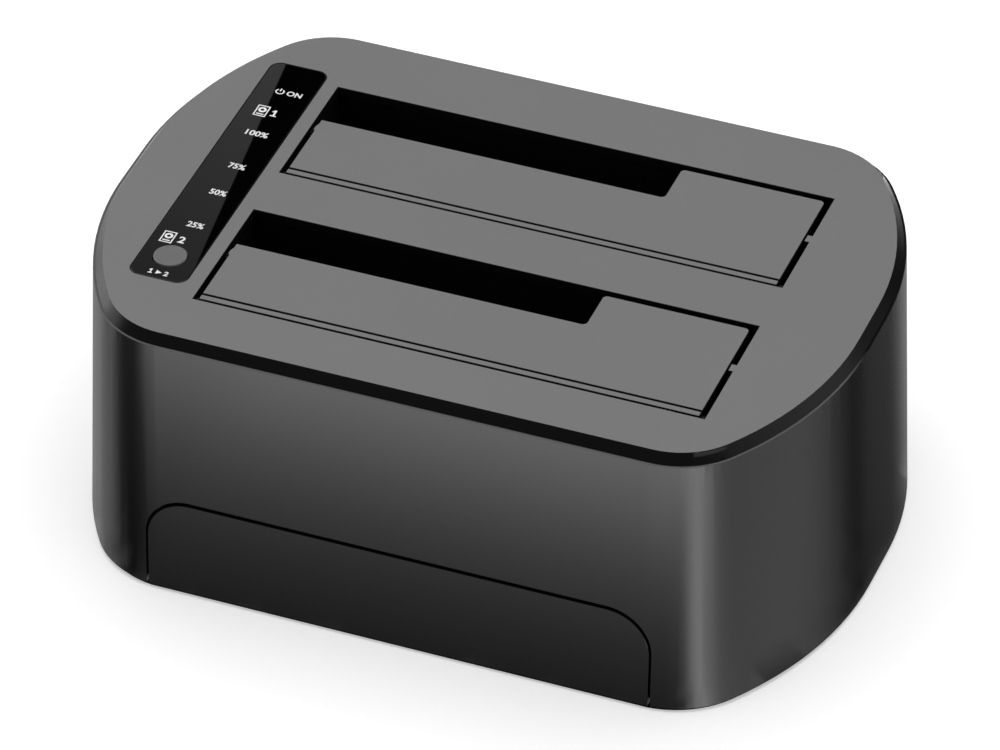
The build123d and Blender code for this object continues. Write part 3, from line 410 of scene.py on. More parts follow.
def flatMark(splines):
    # A flat sign from closed loops of points; a loop inside another is a hole.
    curve = bpy.data.curves.new("mark", "CURVE")
    curve.dimensions = "2D"
    curve.fill_mode = "BOTH"
    for loop in splines:
        spline = curve.splines.new("POLY")
        spline.points.add(len(loop) - 1)
        for point, (x, y) in zip(spline.points, loop):
            point.co = (x, y, 0, 1)
        spline.use_cyclic_u = True
    return curve


def wordMark(word):
    curve = bpy.data.curves.new("word", "FONT")
    curve.body = word
    curve.offset = legendLook["boldness"]
    return curve


def circle(x, y, radius, start=0.0, sweep=360.0):
    # Points round a circle, from start to start + sweep degrees.
    count = legendLook["roundPoints"]
    last = count if sweep == 360.0 else count - 1
    angles = [math.radians(start + sweep * step / last) for step in range(count)]
    return [(x + radius * math.cos(angle), y + radius * math.sin(angle)) for angle in angles]


def box2d(low, high):
    return [(low[0], low[1]), (high[0], low[1]), (high[0], high[1]), (low[0], high[1])]


def powerSign():
    # An open ring with a bar in its gap.
    ring = circle(0, 0, 1.0, 125.0, 290.0) + circle(0, 0, 0.72, 55.0, -290.0)
    return [ring, box2d((-0.15, 0.15), (0.15, 1.15))]


def driveSign():
    # A bare drive seen flat: its outline, its disc and the disc's hub.
    return [box2d((-1.0, -1.4), (1.0, 1.4)), box2d((-0.8, -1.2), (0.8, 1.2)),
            circle(0, 0.3, 0.66), circle(0, 0.3, 0.3), box2d((-0.6, -0.95), (0.6, -0.7))]


def oneSign():
    return [[(-0.5, 0.5), (-0.05, 1.0), (0.3, 1.0), (0.3, -0.7), (0.65, -0.7), (0.65, -1.0),
             (-0.5, -1.0), (-0.5, -0.7), (-0.05, -0.7), (-0.05, 0.5), (-0.3, 0.25)]]


def arrowSign():
    return [[(-0.8, -0.7), (0.8, 0.0), (-0.8, 0.7)]]


legendLook = {"weld": 0.001, "boldness": 0.028, "roundPoints": 28, "thickness": 0.03, "sink": 0.01}
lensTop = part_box("indicator_lens")[1].z / mm
# What is printed, the middle of its place in X and Y, and its width and height, all in millimetres.
legends = [(powerSign, (-58.3, 29.6), (1.9, 1.9)), ("ON", (-55.2, 29.5), (3.2, 1.6)),
           (driveSign, (-59.2, 22.2), (2.6, 3.6)), (oneSign, (-56.5, 22.2), (1.3, 2.1)),
           ("100%", (-57.1, 14.7), (4.7, 1.75)), ("75%", (-56.6, 3.2), (3.5, 1.75)),
           ("50%", (-56.7, -6.1), (3.5, 1.75)), ("25%", (-56.7, -17.5), (3.5, 1.75)),
           (driveSign, (-60.2, -22.9), (2.6, 3.6)), ("2", (-57.3, -22.9), (1.4, 2.1)),
           (oneSign, (-59.1, -34.1), (0.9, 1.4)), (arrowSign, (-57.4, -34.1), (1.2, 1.2)),
           ("2", (-55.9, -34.1), (0.95, 1.4))]


def meshOf(holder):
    # A mesh of its own of what the object shows after its modifiers.
    return bpy.data.meshes.new_from_object(holder.evaluated_get(bpy.context.evaluated_depsgraph_get()))


def inked(name, marks, toWorld, body, material):
    # Turns the marks into one thin printed mesh; toWorld gives the place of a point in millimetres.
    work = bmesh.new()
    for mark, middle, size in marks:
        curve = wordMark(mark) if isinstance(mark, str) else flatMark(mark())
        holder = linked("mark", curve)
        flat = meshOf(holder)
        xs = [vertex.co.x for vertex in flat.vertices]
        ys = [vertex.co.y for vertex in flat.vertices]
        for vertex in flat.vertices:
            vertex.co.x = middle[0] + size[0] * ((vertex.co.x - min(xs)) / (max(xs) - min(xs)) - 0.5)
            vertex.co.y = middle[1] + size[1] * ((vertex.co.y - min(ys)) / (max(ys) - min(ys)) - 0.5)
        work.from_mesh(flat)
        bpy.data.objects.remove(holder)
        bpy.data.curves.remove(curve)
        bpy.data.meshes.remove(flat)
    bmesh.ops.remove_doubles(work, verts=work.verts[:], dist=legendLook["weld"])
    for face in work.faces:
        face.normal_update()
        if face.normal.z < 0:
            face.normal_flip()
    skin = bmesh.ops.extrude_face_region(work, geom=work.faces[:])
    for item in skin["geom"]:
        if isinstance(item, bmesh.types.BMVert):
            item.co.z += legendLook["thickness"]
    bmesh.ops.recalc_face_normals(work, faces=work.faces[:])
    for vertex in work.verts:
        vertex.co = inMm(*toWorld(*vertex.co))
    bmesh.ops.recalc_face_normals(work, faces=work.faces[:])
    mesh = bpy.data.meshes.new(name)
    work.to_mesh(mesh)
    work.free()
    mesh.materials.append(material)
    piece = linked(name, mesh)
    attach(piece, body)


inked("panelLegends", legends, lambda x, y, z: (x, y, lensTop - legendLook["sink"] + z),
      bodyOf["indicator_lens"], whiteInk)
print("legends printed:", len(legends))


# Repeated pieces, each kind grown by a node tree of its own

def startTree(name, counts=(), floats=(), vectors=()):
    # A geometry tree with the named inputs; gives the tree and what its input node holds.
    tree = bpy.data.node_groups.new(name, "GeometryNodeTree")
    for kind, labels in (("Geometry", ("Geometry",)), ("Int", counts), ("Float", floats),
                         ("Vector", vectors), ("Material", ("Material",))):
        for label in labels:
            tree.interface.new_socket(label, in_out="INPUT", socket_type="NodeSocket" + kind)
    tree.interface.new_socket("Geometry", in_out="OUTPUT", socket_type="NodeSocketGeometry")
    return tree, tree.nodes.new("NodeGroupInput").outputs


def endTree(tree, given, shape, places=None):
    # Puts the shape on each of the given points, or on places, and gives it its material.
    spread = addNode(tree, "InstanceOnPoints", Points=places or given["Geometry"], Instance=shape)
    real = addNode(tree, "RealizeInstances", Geometry=spread)
    painted = addNode(tree, "SetMaterial", Geometry=real, Material=given["Material"])
    addNode(tree, "NodeGroupOutput", Geometry=painted)


def joined(tree, *shapes):
    join = tree.nodes.new("GeometryNodeJoinGeometry")
    for shape in shapes:
        tree.links.new(outOf(shape), join.inputs["Geometry"])
    return join


def movedTo(tree, shape, place):
    return addNode(tree, "Transform", Geometry=shape, Translation=place)


def cubeAt(tree, size, place):
    return movedTo(tree, addNode(tree, "MeshCube", Size=size), place)


def grown(name, tree, values, places, material, body):
    # Runs the tree on the places, in millimetres, and keeps its result as a plain mesh.
    seeds = bpy.data.meshes.new(name + "Seeds")
    seeds.from_pydata([inMm(*place) for place in places], [], [])
    holder = linked(name + "Seeds", seeds)
    modifier = holder.modifiers.new("grow", "NODES")
    modifier.node_group = tree
    filled = dict(values, Material=material)
    for item in tree.interface.items_tree:
        if item.in_out == "INPUT" and item.name in filled:
            modifier[item.identifier] = filled[item.name]
    mesh = meshOf(holder)
    bpy.data.objects.remove(holder)
    mesh.name = name
    piece = linked(name, mesh)
    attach(piece, body)
    print("grown:", name, len(mesh.polygons), "faces")
    return piece


sortDigits = 1      # the places of a millimetre that count when boxes are put in order


def islandBoxes(node):
    # The lowest and highest corners, in millimetres, of each separate solid in a node's mesh.
    work = bmesh.new()
    work.from_mesh(frame["nodes"][node].data)
    bmesh.ops.remove_doubles(work, verts=work.verts[:], dist=edgeLook["weld"])
    left, boxes = set(work.verts), []
    while left:
        island, edge = set(), [left.pop()]
        while edge:
            vertex = edge.pop()
            island.add(vertex)
            for link in vertex.link_edges:
                other = link.other_vert(vertex)
                if other in left:
                    left.remove(other)
                    edge.append(other)
        low = Vector(min(vertex.co[axis] for vertex in island) for axis in range(3)) / mm
        high = Vector(max(vertex.co[axis] for vertex in island) for axis in range(3)) / mm
        boxes.append((low, high))
    work.free()
    return sorted(boxes, key=lambda corners: tuple(round(value, sortDigits) for value in corners[0]))


def roundCurve(tree, steps, radius):
    return addNode(tree, "CurvePrimitiveCircle", Resolution=steps, Radius=radius)


def middleOf(low, high, z):
    return (low.x + high.x) / 2, (low.y + high.y) / 2, z


def leadTree():
    # Gull wing leads in a row along each side of a chip.
    tree, given = startTree("chipLeads", ("Leads Per Side", "Sides"), ("Side Turn",),
                            ("Row Start", "Pitch", "Shoulder Size", "Shoulder Place", "Leg Size",
                             "Leg Place", "Toe Size", "Toe Place"))
    lead = joined(tree, *[cubeAt(tree, given[part + " Size"], given[part + " Place"])
                          for part in ("Shoulder", "Leg", "Toe")])
    row = addNode(tree, "MeshLine", Count=given["Leads Per Side"],
                  Start_Location=given["Row Start"], Offset=given["Pitch"])
    side = addNode(tree, "InstanceOnPoints", Points=row, Instance=lead)
    corners = addNode(tree, "Points", Count=given["Sides"])
    index = addNode(tree, "InputIndex")
    turn = addNode(tree, "ShaderNodeCombineXYZ", Z=maths(tree, "MULTIPLY", index, given["Side Turn"]))
    chip = addNode(tree, "InstanceOnPoints", Points=corners, Instance=side, Rotation=turn)
    endTree(tree, given, chip)
    return tree


leadLook = {"width": 0.28, "pitchPower": 0.5, "thickness": 0.15, "shoulder": 0.35, "toe": 0.5}
# The node, its leads on a side, their pitch, its sides with leads, and how far each side is turned.
leadSets = [("bridge_chips", 20, 0.5, 4, 90.0), ("memory_chip", 4, 1.27, 2, 180.0),
            ("voltage_regulators", 3, 1.9, 1, 0.0)]


def growLeads():
    look = leadLook
    tree = leadTree()
    for node, count, pitch, sides, turn in leadSets:
        boxes = islandBoxes(node)
        low, high = boxes[0]
        half = (high.y - low.y) / 2
        rise = (high.z - low.z) / 2
        width, thick = look["width"] * pitch ** look["pitchPower"], look["thickness"]
        values = {"Leads Per Side": count, "Row Start": inMm(-(count - 1) * pitch / 2, -half, 0),
                  "Pitch": inMm(pitch, 0, 0), "Sides": sides, "Side Turn": math.radians(turn),
                  "Shoulder Size": inMm(width, look["shoulder"], thick),
                  "Shoulder Place": inMm(0, -look["shoulder"] / 2, rise),
                  "Leg Size": inMm(width, thick, rise),
                  "Leg Place": inMm(0, -look["shoulder"], rise / 2 + thick / 2),
                  "Toe Size": inMm(width, look["toe"], thick),
                  "Toe Place": inMm(0, -look["shoulder"] - look["toe"] / 2, thick / 2)}
        places = [middleOf(low, high, low.z) for low, high in boxes]
        grown(f"leads.{node}", tree, values, places, steel, bodyOf[node])


growLeads()


def contactTree():
    # Bowed spring contacts in a row, each a flat strip swept along an arc.
    tree, given = startTree("socketContacts", ("Contacts",), ("Strip Width", "Strip Thickness"),
                            ("Pitch", "Bow", "Tip"))
    arc = addNode(tree, "CurveQuadraticBezier", Resolution=contactLook["steps"], Start=(0.0, 0.0, 0.0),
                  Middle=given["Bow"], End=given["Tip"])
    strip = addNode(tree, "CurvePrimitiveQuadrilateral", Width=given["Strip Thickness"],
                    Height=given["Strip Width"])
    contact = addNode(tree, "CurveToMesh", Curve=arc, Profile_Curve=strip, Fill_Caps=True)
    row = addNode(tree, "MeshLine", Count=given["Contacts"], Offset=given["Pitch"])
    group = addNode(tree, "InstanceOnPoints", Points=row, Instance=contact)
    endTree(tree, given, group)
    return tree


contactLook = {"steps": 10, "bow": 0.5, "thickness": 0.16, "groups": ((0, 15), (15, 7))}


def growContacts():
    tree = contactTree()
    for side in ("rear", "front"):
        node = f"socket_contacts_{side}"
        boxes = islandBoxes(node)
        for first, count in contactLook["groups"]:
            low, high = boxes[first]
            nextLow = boxes[first + 1][0]
            values = {"Contacts": count, "Pitch": inMm(nextLow.x - low.x, 0, 0),
                      "Strip Width": (high.x - low.x) * mm,
                      "Strip Thickness": contactLook["thickness"] * mm,
                      "Bow": inMm(0, -contactLook["bow"], (high.z - low.z) / 2),
                      "Tip": inMm(0, 0, high.z - low.z)}
            grown(f"contacts.{side}.{count}", tree, values,
                                [middleOf(low, high, low.z)], gold, bodyOf[node])
        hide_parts(node)


growContacts()


def treadTree():
    # Rings one inside the other under a foot.
    tree, given = startTree("footTread", ("Rings",), ("Ring Spacing", "Rib Radius"))
    steps = addNode(tree, "Points", Count=given["Rings"])
    index = addNode(tree, "InputIndex")
    radius = maths(tree, "MULTIPLY", maths(tree, "ADD", index, 1.0), given["Ring Spacing"])
    outline = roundCurve(tree, treadLook["ringSteps"], 1.0)
    rings = addNode(tree, "InstanceOnPoints", Points=steps, Instance=outline, Scale=radius)
    paths = addNode(tree, "RealizeInstances", Geometry=rings)
    rib = roundCurve(tree, treadLook["ribSteps"], given["Rib Radius"])
    tread = addNode(tree, "CurveToMesh", Curve=paths, Profile_Curve=rib)
    endTree(tree, given, tread)
    return tree


treadLook = {"ringSteps": 48, "ribSteps": 8, "rings": 4, "spacing": 0.95, "rib": 0.16}


def growTreads():
    # The feet stand on their ribs, so the pad between them is lifted by a rib's radius.
    pads = dressedCopy("rubber_feet", "footPads", [footRubber], smallLook)
    rib = treadLook["rib"] * mm
    for vertex in pads.data.vertices:
        vertex.co.z = max(vertex.co.z, rib)
    places = [middleOf(low, high, treadLook["rib"]) for low, high in islandBoxes("rubber_feet")]
    values = {"Rings": treadLook["rings"], "Ring Spacing": treadLook["spacing"] * mm, "Rib Radius": rib}
    grown("footTreads", treadTree(), values, places, footRubber, bodyOf["rubber_feet"])


growTreads()


def screwTree():
    # A pan head with a cross cut in it, a shank and a thread wound round it.
    tree, given = startTree("screws", (), ("Head Radius", "Head Height", "Shank Radius", "Shank Length",
                                           "Thread Turns", "Thread Length", "Thread Height"),
                            ("Head Place", "Slot Size", "Cross Slot Size", "Shank Place"))
    head = addNode(tree, "MeshCylinder", Vertices=screwLook["headSides"], Radius=given["Head Radius"],
                   Depth=given["Head Height"])
    cross = addNode(tree, "MeshBoolean", {"operation": "DIFFERENCE"},
                    Mesh_1=movedTo(tree, head, given["Head Place"]))
    for size in ("Slot Size", "Cross Slot Size"):
        tree.links.new(outOf(addNode(tree, "MeshCube", Size=given[size])), cross.inputs["Mesh 2"])
    shank = addNode(tree, "MeshCylinder", Vertices=screwLook["shankSides"], Radius=given["Shank Radius"],
                    Depth=given["Shank Length"])
    winding = addNode(tree, "CurveSpiral", Resolution=screwLook["turnSteps"],
                      Rotations=given["Thread Turns"], Start_Radius=given["Shank Radius"],
                      End_Radius=given["Shank Radius"], Height=given["Thread Length"])
    ridge = roundCurve(tree, screwLook["threadSides"], given["Thread Height"])
    thread = addNode(tree, "CurveToMesh", Curve=winding, Profile_Curve=ridge, Fill_Caps=True)
    endTree(tree, given, joined(tree, cross, movedTo(tree, shank, given["Shank Place"]), thread))
    return tree


screwLook = {"headHeight": 1.6, "slot": 0.72, "slotDepth": 1.0, "slotLength": 2.8, "shank": 1.12,
             "thread": 0.13, "pitch": 0.7, "endGap": 0.5, "headSides": 28, "shankSides": 20,
             "turnSteps": 16, "threadSides": 4}
# The nodes of screws, and 1 where the head is below or -1 where it is above.
screwSets = [("case_screws", 1), ("board_screws", -1), ("cradle_screws", 1), ("panel_screws", 1)]


def growScrews():
    # The tree builds a screw along +Z with the face of its head at 0; up turns it over.
    look = screwLook
    for node, up in screwSets:
        tree = screwTree()
        boxes = islandBoxes(node)
        low, high = boxes[0]
        whole, head = high.z - low.z, look["headHeight"]
        shank = whole - head
        winding = shank - look["endGap"]
        across = (look["slotLength"], look["slot"], 2 * look["slotDepth"])
        values = {"Head Radius": (high.x - low.x) / 2 * mm, "Head Height": head * mm,
                  "Head Place": inMm(0, 0, up * head / 2), "Slot Size": inMm(*across),
                  "Cross Slot Size": inMm(across[1], across[0], across[2]),
                  "Shank Radius": look["shank"] * mm, "Shank Length": shank * mm,
                  "Shank Place": inMm(0, 0, up * (head + shank / 2)),
                  "Thread Turns": winding / look["pitch"], "Thread Length": winding * mm * up,
                  "Thread Height": look["thread"] * mm}
        places = [middleOf(low, high, low.z if up > 0 else high.z) for low, high in boxes]
        piece = grown(f"screws.{node}", tree, values, places, steel, bodyOf[node])
        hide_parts(node)


growScrews()


def partsTree():
    # Small two-ended parts in rows, with some places left empty at random.
    tree, given = startTree("boardParts", ("Parts", "Seed"), ("Empty Share",),
                            ("Step", "Body Size", "End Size", "End Place", "Other End Place"))
    part = joined(tree, cubeAt(tree, given["Body Size"], (0.0, 0.0, 0.0)),
                  cubeAt(tree, given["End Size"], given["End Place"]),
                  cubeAt(tree, given["End Size"], given["Other End Place"]))
    row = addNode(tree, "MeshLine", Count=given["Parts"], Offset=given["Step"])
    rows = addNode(tree, "InstanceOnPoints", Points=given["Geometry"], Instance=row)
    spots = addNode(tree, "RealizeInstances", Geometry=rows)
    chance = addNode(tree, "FunctionNodeRandomValue", {"data_type": "FLOAT"}, Seed=given["Seed"])
    empty = maths(tree, "LESS_THAN", chance, given["Empty Share"])
    kept = addNode(tree, "DeleteGeometry", Geometry=spots, Selection=empty)
    endTree(tree, given, part, kept)
    return tree


partLook = {"body": (0.9, 0.7, 0.42), "end": (0.18, 0.78, 0.46), "reach": 0.5, "step": 1.9, "count": 7,
            "empty": 0.25, "seed": 7}
# Where each row of small parts starts, in X and Y.
partRows = [(-14.0, 24.6), (-14.0, 9.0), (-14.0, -19.4), (-14.0, -34.8), (12.6, 22.4), (12.6, 11.0),
            (12.6, -21.6), (12.6, -32.6), (32.6, 17.0), (-48.0, 22.0), (-48.0, -14.0), (-30.0, 5.0)]


def growParts():
    look = partLook
    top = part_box("main_board")[1].z / mm
    lift = look["end"][2] / 2
    values = {"Parts": look["count"], "Step": inMm(look["step"], 0, 0), "Body Size": inMm(*look["body"]),
              "End Size": inMm(*look["end"]), "End Place": inMm(look["reach"], 0, 0),
              "Other End Place": inMm(-look["reach"], 0, 0), "Empty Share": look["empty"],
              "Seed": look["seed"]}
    grown("boardParts", partsTree(), values, [(x, y, top + lift) for x, y in partRows], canMetal,
          bodyOf["main_board"])


growParts()


# Signs printed beside the sockets at the back

backSigns = {"reach": 90.0, "lift": 0.02, "level": 22.0}


def skinOf(node):
    mesh = frame["nodes"][node].data
    return BVHTree.FromPolygons([vertex.co / mm for vertex in mesh.vertices],
                                [tuple(face.vertices) for face in mesh.polygons])


backShell, rocker = skinOf("body_shell"), skinOf("power_switch_rocker")


def onBack(x, z, height, surface=backShell):
    # The mark's place on the back wall, where X runs the other way.
    hit = surface.ray_cast(Vector((-x, backSigns["reach"], z)), Vector((0, -1, 0)))[0]
    return -x, hit.y - backSigns["lift"] + height, z


def plusSign():
    return minusSign() + [box2d((-0.11, 0.11), (0.11, 0.5)), box2d((-0.11, -0.5), (0.11, -0.11))]


def minusSign():
    return [circle(0, 0, 1.0), circle(0, 0, 0.8), box2d((-0.5, -0.11), (0.5, 0.11))]


def tipSign():
    # The jack's sleeve as an open ring round its pin.
    return [circle(0, 0, 1.0, 50.0, 260.0) + circle(0, 0, 0.8, 310.0, -260.0), circle(0, 0, 0.36)]


def lineSign():
    return [box2d((-1.0, -0.1), (1.0, 0.1))]


def exchangeSign():
    # Two arrows that point opposite ways.
    upper = [(-1.0, 0.2), (0.4, 0.2), (0.4, 0.0), (1.0, 0.35), (0.4, 0.7), (0.4, 0.5), (-1.0, 0.5)]
    return [upper, [(-x, -y) for x, y in upper]]


# What is printed, the middle of its place as seen from behind, and its width and height.
backMarks = [(mark, (x, backSigns["level"]), size) for mark, x, size in (
    (minusSign, 30.7, (1.5, 1.5)), (lineSign, 32.1, (1.1, 0.2)), (tipSign, 33.9, (2.0, 2.0)),
    (lineSign, 35.8, (1.4, 0.2)), (plusSign, 37.4, (1.5, 1.5)), (exchangeSign, 8.0, (3.0, 1.8)),
    (powerSign, -30.0, (2.0, 2.0)))]
inked("backSigns", backMarks, onBack, bodyOf["body_shell"], greyInk)
rockerMarks = [(lambda: [box2d((-0.1, -1.0), (0.1, 1.0))], (-33.4, 12.85), (0.35, 2.4)),
               (lambda: [circle(0, 0, 1.0), circle(0, 0, 0.76)], (-26.6, 12.85), (2.2, 2.2))]
inked("rockerSigns", rockerMarks, lambda x, z, height: onBack(x, z, height, rocker),
      bodyOf["power_switch_rocker"], greyInk)
print("back signs printed:", len(backMarks) + len(rockerMarks))


# Stage: a pale floor and soft studio light

stageLook = {"floorSize": 8.0, "floorColour": grey(236), "floorLift": 0.42, "worldColour": grey(255),
             "worldStrength": 0.35, "footReach": 1.5 * mm, "inset": 0.9 * mm, "shadowPatchLift": 0.02 * mm,
             "underShadowColour": grey(12), "underLight": 0.5, "rimDigits": 6}


def pathStrength(tree, other, seen):
    # Gives seen for camera, glossy and transmission rays, and other for the rest.
    path = addNode(tree, "LightPath").outputs
    first = maths(tree, "MAXIMUM", path["Is Camera Ray"], path["Is Glossy Ray"])
    either = maths(tree, "MAXIMUM", first, path["Is Transmission Ray"])
    return addNode(tree, "MapRange", Value=either, To_Min=other, To_Max=seen)


def paper(name, colour, seenGlow, otherGlow):
    # Paper that adds seenGlow for the camera and mirrors and otherGlow for the rest. It is clear from
    # below.
    material, tree = newMaterial(name)
    sheet = addNode(tree, "BsdfDiffuse", Color=colour)
    lift = addNode(tree, "Emission", Color=grey(255), Strength=pathStrength(tree, otherGlow, seenGlow))
    both = addNode(tree, "AddShader", Shader=sheet, Shader_001=lift)
    oneSided = addNode(tree, "MixShader", Fac=addNode(tree, "NewGeometry").outputs["Backfacing"],
                       Shader=both, Shader_001=addNode(tree, "BsdfTransparent"))
    addNode(tree, "OutputMaterial", Surface=oneSided)
    return material


def makeFloor():
    # A wide sheet, and a dark patch just inside the case's outline, a painted shadow under the case that
    # is seen only through its gaps.
    look = stageLook
    half = look["floorSize"] / 2
    corners = [(-half, -half, 0), (half, -half, 0), (half, half, 0), (-half, half, 0)]
    foot = bmesh.new()
    foot.from_mesh(frame["nodes"]["body_shell"].data)
    bmesh.ops.delete(foot, geom=[vertex for vertex in foot.verts if vertex.co.z > look["footReach"]],
                     context="VERTS")
    hull = bmesh.ops.convex_hull(foot, input=foot.verts[:], use_existing_faces=False)
    rim = {(round(item.co.x, look["rimDigits"]), round(item.co.y, look["rimDigits"]))
           for item in hull["geom"] if isinstance(item, bmesh.types.BMVert)}
    foot.free()
    shadowPatch = []
    for x, y in sorted(rim, key=lambda at: math.atan2(at[1], at[0])):
        share = 1 - look["inset"] / math.hypot(x, y)
        shadowPatch.append((x * share, y * share, look["shadowPatchLift"]))
    mesh = bpy.data.meshes.new("floor")
    mesh.from_pydata(corners + shadowPatch, [], [(0, 1, 2, 3), tuple(range(4, 4 + len(shadowPatch)))])
    mesh.materials.append(paper("floorPaper", look["floorColour"], look["floorLift"], 0.0))
    # The patch under the case is a painted shadow.
    mesh.materials.append(paper("floorShadowUnderCase", look["underShadowColour"], 0.0, look["underLight"]))
    mesh.polygons[1].material_index = 1
    floor = linked("floor", mesh)


def makeWorld():
    world = bpy.data.worlds.new("studio")
    bpy.context.scene.world = world
    world.use_nodes = True
    background = world.node_tree.nodes["Background"]
    background.inputs["Color"].default_value = stageLook["worldColour"]
    strength = pathStrength(world.node_tree, stageLook["worldStrength"], 1.0)
    world.node_tree.links.new(outOf(strength), background.inputs["Strength"])


softboxLook = {"place": (0, 0.1, 1.5), "aim": (0, 0, 0), "size": (1.6, 1.6), "power": 16.0}


def softbox(name, look):
    # A soft rectangular lamp, turned to face its aim.
    data = bpy.data.lights.new(name, "AREA")
    data.shape = "RECTANGLE"
    data.size, data.size_y = look["size"]
    data.energy = look["power"]
    lamp = linked(name, data)
    lamp.location = look["place"]
    aim = Vector(look["aim"]) - Vector(look["place"])
    lamp.rotation_euler = aim.to_track_quat("-Z", "Y").to_euler()
    lamp.visible_camera = False


# Cards that only glossy surfaces see. One lies on the floor round the case, dark at the walls and
# brighter further out, with a fan of its own brightness off each front corner.
floorGlowLook = {"near": 0.2, "reach": 29.6, "most": 2.9, "backMost": 0.7, "wallY": 55.0,
                 "flatFrom": -50.0, "flatTo": 55.0, "rightPivot": (55.0, -45.0),
                 "leftPivot": (-55.0, -54.0), "backFrom": 62.0, "backTo": 165.0, "backBlend": 12.0,
                 "underX": 78.0, "underY": 54.5, "underGlow": 0.35, "farFrom": 170.0, "farReach": 80.0,
                 "farGlow": 0.6, "fallFrom": 105.0, "fallReach": 45.0, "rings": 70, "spokes": 360,
                 "inner": 0.5, "outer": 420.0, "lift": 0.15, "underPower": 4, "farTurns": (-230, -190)}
# The fans' brightness by direction in degrees: how much of the front's rise, and what is added to it.
rightFan = [(-90, 1.0, 0.0), (-72, 1.05, 0.1), (-66, 1.05, 0.38), (-60, 0.9, 1.6), (-47, 0.0, 3.75),
            (-36, 0.0, 2.21), (-23, 0.0, 1.21), (-5, 0.0, 0.84), (11, 0.0, 0.8), (29, 0.0, 0.68),
            (41, 0.0, 0.42), (50, 0.0, 0.1), (56, 0.0, 0.03), (63, 0.0, 0.08), (70, 0.0, 0.11),
            (80, 0.0, 0.33), (100, 0.0, 0.46)]
leftFan = [(-275, 0.0, 0.36), (-230, 0.0, 0.38), (-215, 0.0, 0.42), (-203, 0.0, 0.48), (-190, 0.0, 0.56),
           (-178, 0.1, 0.43), (-168, 0.18, 0.1), (-155, 0.12, 0.0), (-143, 0.12, 0.0), (-133, 0.3, 0.0),
           (-118, 0.8, 0.0), (-90, 1.0, 0.0)]


def between(keys, at):
    # Reads the keys at a place between two of them.
    for low, high in zip(keys, keys[1:]):
        if at <= high[0]:
            share = max(0.0, (at - low[0]) / (high[0] - low[0]))
            return [first + share * (second - first) for first, second in zip(low[1:], high[1:])]
    return keys[-1][1:]


def limited(share):
    return min(1.0, max(0.0, share))


def wallGlow(distance, most):
    return min(most, floorGlowLook["near"] * math.exp(max(0.0, distance) / floorGlowLook["reach"]))


def frontGlow(x, y):
    # The floor in front and at the sides.
    look = floorGlowLook
    rise = wallGlow(-y - look["wallY"], look["most"])
    if look["flatFrom"] < x < look["flatTo"] and y < 0:
        return rise
    pivot, fan = (look["rightPivot"], rightFan) if x > 0 else (look["leftPivot"], leftFan)
    angle = math.degrees(math.atan2(y - pivot[1], x - pivot[0]))
    if x <= 0 and angle > 0:
        angle -= 360.0
    share, added = between(fan, angle)
    far = limited((math.hypot(x - pivot[0], y - pivot[1]) - look["farFrom"]) / look["farReach"])
    if look["farTurns"][0] < angle < look["farTurns"][1]:
        added += far * look["farGlow"]
    return share * rise + added


def floorGlow(x, y):
    look = floorGlowLook
    angle = math.degrees(math.atan2(y, x)) % 360.0
    middle = (look["backFrom"] + look["backTo"]) / 2
    inside = (look["backTo"] - look["backFrom"]) / 2 - abs(angle - middle)
    share = limited(inside / look["backBlend"])
    if (x / look["underX"]) ** look["underPower"] + (y / look["underY"]) ** look["underPower"] < 1:
        return look["underGlow"]
    distance = y - look["wallY"]
    fall = limited((distance - look["fallFrom"]) / look["fallReach"])
    back = wallGlow(distance, look["most"] + fall * (look["backMost"] - look["most"]))
    return share * back + (1 - share) * frontGlow(x, y)


def glowMaterial():
    # Light of the strength that the card's own glow attribute holds.
    material, tree = newMaterial("cardGlow")
    glow = addNode(tree, "Attribute", {"attribute_name": "glow"})
    light = addNode(tree, "Emission", Color=grey(255), Strength=glow.outputs["Fac"])
    addNode(tree, "OutputMaterial", Surface=light)
    return material


def card(name, points, faces, glows, material):
    # A stage card that only glossy rays meet.
    mesh = bpy.data.meshes.new(name)
    mesh.from_pydata([inMm(*point) for point in points], [], faces)
    glow = mesh.attributes.new("glow", "FLOAT", "POINT")
    for place, value in zip(glow.data, glows):
        place.value = value
    mesh.materials.append(material)
    made = linked(name, mesh)
    made.visible_camera = made.visible_diffuse = made.visible_transmission = made.visible_shadow = False


def floorCard(material):
    look = floorGlowLook
    growth = (look["outer"] / look["inner"]) ** (1 / look["rings"])
    points, glows, faces = [], [], []
    for ring in range(look["rings"] + 1):
        radius = look["inner"] * growth ** ring
        for spoke in range(look["spokes"]):
            angle = math.tau * spoke / look["spokes"]
            x, y = radius * math.cos(angle), radius * math.sin(angle)
            points.append((x, y, look["lift"]))
            glows.append(floorGlow(x, y))
            if ring:
                after = (spoke + 1) % look["spokes"]
                outer, inner = ring * look["spokes"], (ring - 1) * look["spokes"]
                faces.append((inner + spoke, outer + spoke, outer + after, inner + after))
    card("floorCard", points, faces, glows, material)


# A ring of card further out is what the sloping band mirrors, by direction in degrees.
ringLook = {"step": 2, "radius": 400.0, "low": 0.5, "high": 520.0, "rows": 4,
            "glows": [(-212, 1.0), (-202, 2.0), (-192, 3.4), (-181, 4.0), (-166, 3.6), (-154, 0.5),
                      (-140, 0.35), (-50, 0.35), (-34, 0.5), (-17, 0.85), (3, 1.8), (16, 2.0),
                      (28, 1.5), (40, 0.35), (49, 0.1), (58, 0.08), (72, 0.1)]}


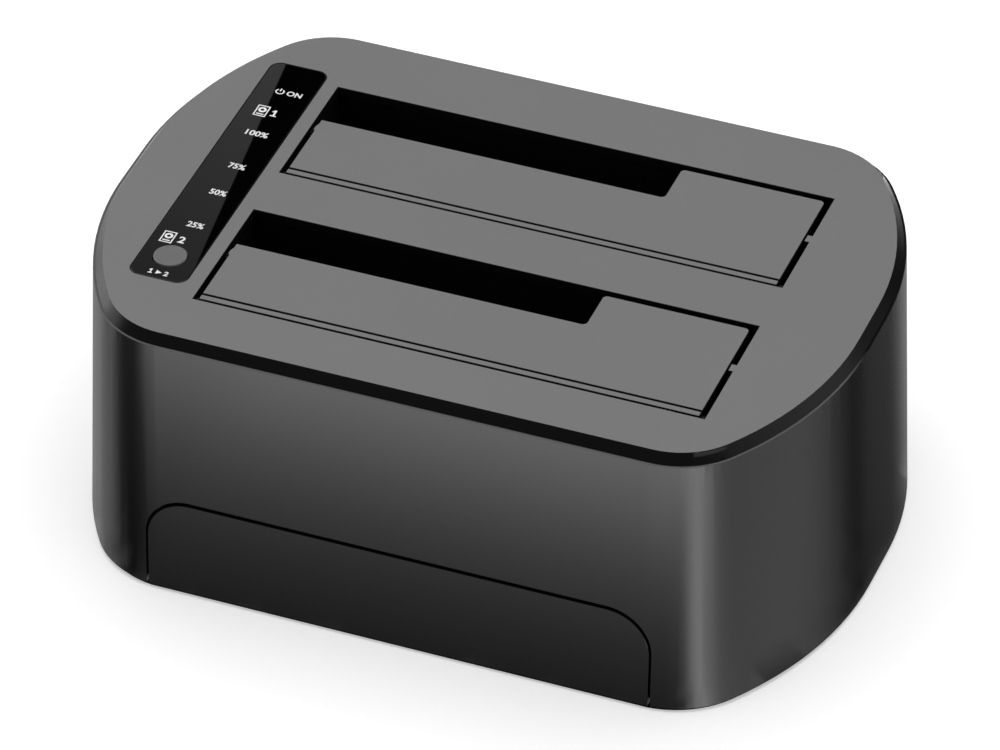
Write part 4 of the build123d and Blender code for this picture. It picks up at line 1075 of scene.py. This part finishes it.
def ringCard(material):
    look = ringLook
    turns = range(look["glows"][0][0], look["glows"][-1][0] + 1, look["step"])
    points, glows, faces = [], [], []
    for row in range(look["rows"] + 1):
        height = look["low"] + (look["high"] - look["low"]) * row / look["rows"]
        for step, turn in enumerate(turns):
            angle = math.radians(turn)
            points.append((look["radius"] * math.cos(angle), look["radius"] * math.sin(angle), height))
            glows.append(between(look["glows"], turn)[0])
            if row and step:
                above, below = row * len(turns) + step, (row - 1) * len(turns) + step
                faces.append((below - 1, below, above, above - 1))
    card("ringCard", points, faces, glows, material)


# The lens mirrors a dark card behind the case, and a paler one with a straight edge before it.
lensCardLook = {"edge": ((-210.6, 392.1, 333.3), (-221.1, 353.4, 375.1)), "side": (0.957, 0.253, 0.14),
                "over": 0.6, "reach": 45.0, "darkReach": 90.0, "behind": 6.0,
                "glows": (0.72, 0.78, 0.06, 0.14)}


def lensCards(material):
    look = lensCardLook
    first, last = (Vector(point) for point in look["edge"])
    along = (last - first) * look["over"]
    side = Vector(look["side"])
    away = along.cross(side).normalized() * look["behind"]
    if away.y < 0:
        away = -away
    low, high = side * look["reach"], last + along
    pale = [first - along, first - along - low, high - low, high]
    card("paleCard", pale, [(0, 1, 2, 3)], look["glows"], material)
    wide = side * look["darkReach"]
    start, end = first - along * 2 + away, last + along * 2 + away
    dark = [start + wide, start - wide, end - wide, end + wide]
    card("darkCard", dark, [(0, 1, 2, 3)], (0.0, 0.0, 0.0, 0.0), material)


makeFloor()
makeWorld()
softbox("overhead", softboxLook)
cardGlow = glowMaterial()
floorCard(cardGlow)
ringCard(cardGlow)
lensCards(cardGlow)
print("floor, lights and cards set")

cameraLook = {"place": (0.4233, -1.10222, 0.94248), "elevation": 37.799, "azimuth": 21.013,
              "lens": 273.67, "sensor": 36.0, "clip": (0.05, 30)}


def makeCamera():
    data = bpy.data.cameras.new("camera")
    data.lens = cameraLook["lens"]
    data.sensor_width = cameraLook["sensor"]
    data.clip_start, data.clip_end = cameraLook["clip"]
    camera = linked("camera", data)
    camera.location = cameraLook["place"]
    camera.rotation_euler = (math.radians(90 - cameraLook["elevation"]), 0,
                             math.radians(cameraLook["azimuth"]))
    bpy.context.scene.camera = camera


makeCamera()
bpy.context.scene.view_settings.view_transform = "Standard"
